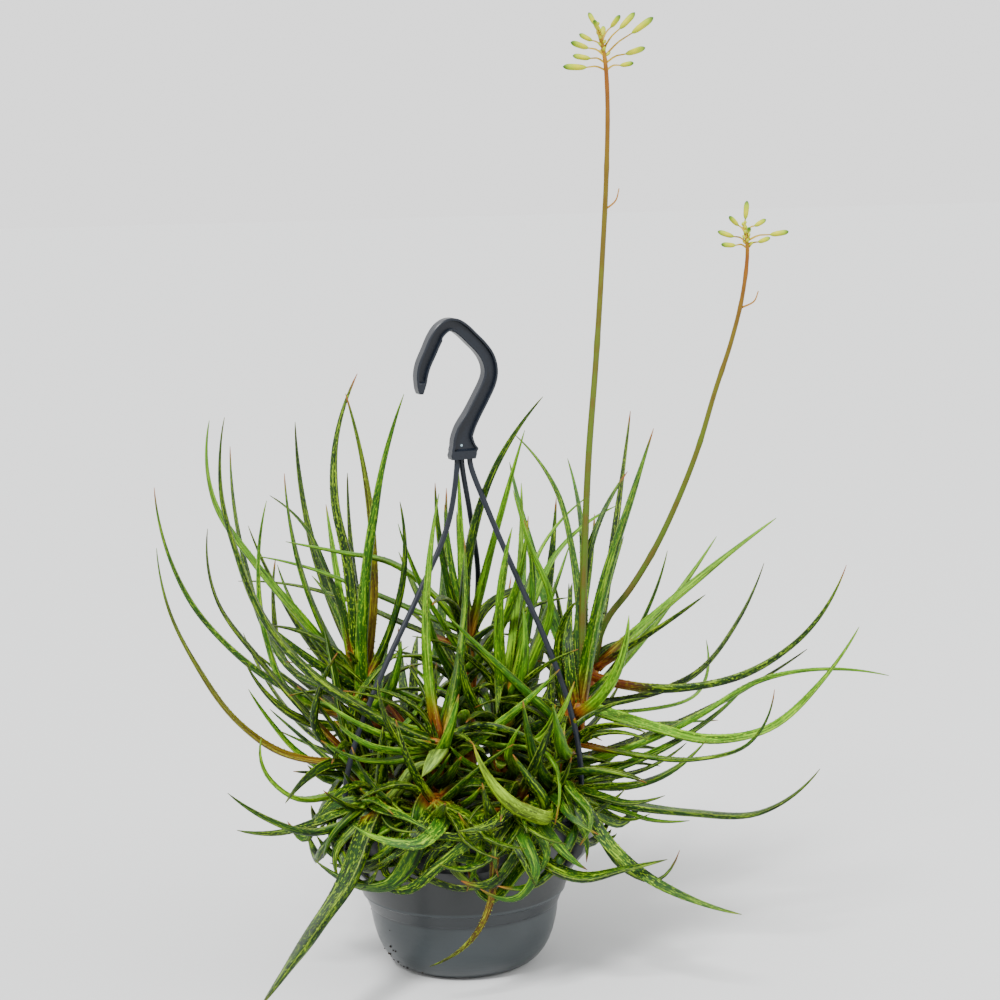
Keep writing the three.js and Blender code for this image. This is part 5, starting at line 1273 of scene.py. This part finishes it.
for r in [RIM_RADIUS - inset, *np.linspace(RIM_RADIUS - SOIL_EDGE, 2, SOIL_RINGS)]:
    sunk = SOIL_CROWN if r > RIM_RADIUS - SOIL_BORDER else 0
    top_side.append((r, SOIL_HEIGHT + SOIL_CROWN * (1 - (r / RIM_RADIUS) ** 2) - sunk))
bm = spun([(0, inset)] + wall_side + top_side + [(0, SOIL_HEIGHT + SOIL_CROWN)], SOIL_STEPS, 0.2)
for vertex in bm.verts:
    x, y, z = vertex.co
    if z > SOIL_HEIGHT - 1.5 and math.hypot(x, y) < RIM_RADIUS - SOIL_BORDER:
        ripple = math.sin(x * 0.9 + 1.7 * math.sin(y * 0.5)) * math.sin(y * 0.8)
        vertex.co.z += drawn(SOIL_RIPPLE * ripple, SOIL_GRIT, x * 3 + y)
CHIPS = 260
CHIP_LIFT = 1.9
CHIP_LENGTH = (3.4, 3)
CHIP_WIDTH = (1.6, 1)
CHIP_THICKNESS = 0.8
GRAIN_SIZE = (1.1, 1.1, 1)
for i in range(CHIPS):
    radius = (RIM_RADIUS - 6) * math.sqrt(draw(2000 + i))
    angle = 2 * math.pi * draw(2300 + i)
    pale = draw(2600 + i) > 0.88
    chip = (drawn(*CHIP_LENGTH, 2900 + i), drawn(*CHIP_WIDTH, 3200 + i), CHIP_THICKNESS)
    size = GRAIN_SIZE if pale else chip
    spot = Matrix.Translation(polar(radius, angle, SOIL_HEIGHT + CHIP_LIFT))
    turn = Matrix.Rotation(6.28 * draw(3500 + i), 4, "Z")
    spot = spot @ turn @ Matrix.Rotation(draw(3800 + i) - 0.5, 4, "X") @ Matrix.Diagonal((*size, 1))
    made = bmesh.ops.create_icosphere(bm, subdivisions=1, radius=1, matrix=spot)
    paint(made["verts"], 2 if pale else 1)
mesh_piece("soil", bm, [peat, bark, perlite])

# Crumbs of soil that stick to the left of the bowl
CRUMBS = 26
CRUMBS_BEARING = 196
bm = bmesh.new()
side = bowl_outline(0, 40)
for i in range(CRUMBS):
    radius, height = side[int(8 + 31 * draw(4100 + i) ** 1.6)]
    bearing = math.radians(CRUMBS_BEARING + 44 * (draw(4200 + i) - 0.5) + 20 * draw(4400 + i) ** 3)
    size = 0.35 + 0.75 * draw(4300 + i) ** 2
    spot = Matrix.Translation(polar(radius, bearing, height))
    bmesh.ops.create_icosphere(bm, subdivisions=1, radius=size, matrix=spot)
mesh_piece("soil_crumbs", bm, [peat], replaces=False)

# Floor, light and camera: a plain floor that meets an evenly lit white surround, and a broad soft key light
# from the upper left
FLOOR_SIZE = 12
SURROUND = 1.7
KEY = 6.6
KEY_BEARING = -116
KEY_LIFT = 52
KEY_ANGLE = 14
FILL = 14
FILL_SIZE = 0.9
FILL_PLACE = Vector((1.5, -0.5, 0.7))
FILL_AIM = Vector((0, 0, 0.15))
bm = bmesh.new()
bmesh.ops.create_grid(bm, x_segments=1, y_segments=1, size=FLOOR_SIZE)
floor = add_object("floor", mesh_of("floor", bm))
pale = new_material("Pale studio floor", Base_Color=colour("#bdbebe"), Roughness=0.95)[0]
floor.data.materials.append(pale)

world = bpy.data.worlds.new("Studio")
world.use_nodes = True
world.node_tree.nodes["Background"].inputs["Color"].default_value = (1, 1, 1, 1)
world.node_tree.nodes["Background"].inputs["Strength"].default_value = SURROUND
bpy.context.scene.world = world

bearing, lift = math.radians(KEY_BEARING), math.radians(KEY_LIFT)
toward = Vector((math.cos(bearing) * math.cos(lift), math.sin(bearing) * math.cos(lift), math.sin(lift)))
key_data = bpy.data.lights.new("key", "SUN")
key_data.energy = KEY
key_data.angle = math.radians(KEY_ANGLE)
add_object("key", key_data).rotation_euler = toward.to_track_quat("Z", "Y").to_euler()
fill_data = bpy.data.lights.new("fill", "AREA")
fill_data.energy = FILL
fill_data.size = FILL_SIZE
fill = add_object("fill", fill_data)
fill.location = FILL_PLACE
fill.rotation_euler = (FILL_PLACE - FILL_AIM).to_track_quat("Z", "Y").to_euler()

yaw, pitch, roll = (math.radians(a) for a in (CAMERA_YAW, CAMERA_PITCH, CAMERA_ROLL))
forward = Vector((math.sin(yaw) * math.cos(pitch), math.cos(yaw) * math.cos(pitch), -math.sin(pitch)))
level_right = forward.cross(Vector((0, 0, 1))).normalized()
level_up = level_right.cross(forward)
right = level_right * math.cos(roll) - level_up * math.sin(roll)
up = level_up * math.cos(roll) + level_right * math.sin(roll)
camera_data = bpy.data.cameras.new("camera")
camera_data.lens = CAMERA_LENS
camera = add_object("camera", camera_data)
camera.matrix_world = Matrix.Translation(CAMERA_PLACE) @ Matrix((right, up, -forward)).transposed().to_4x4()
bpy.context.scene.camera = camera
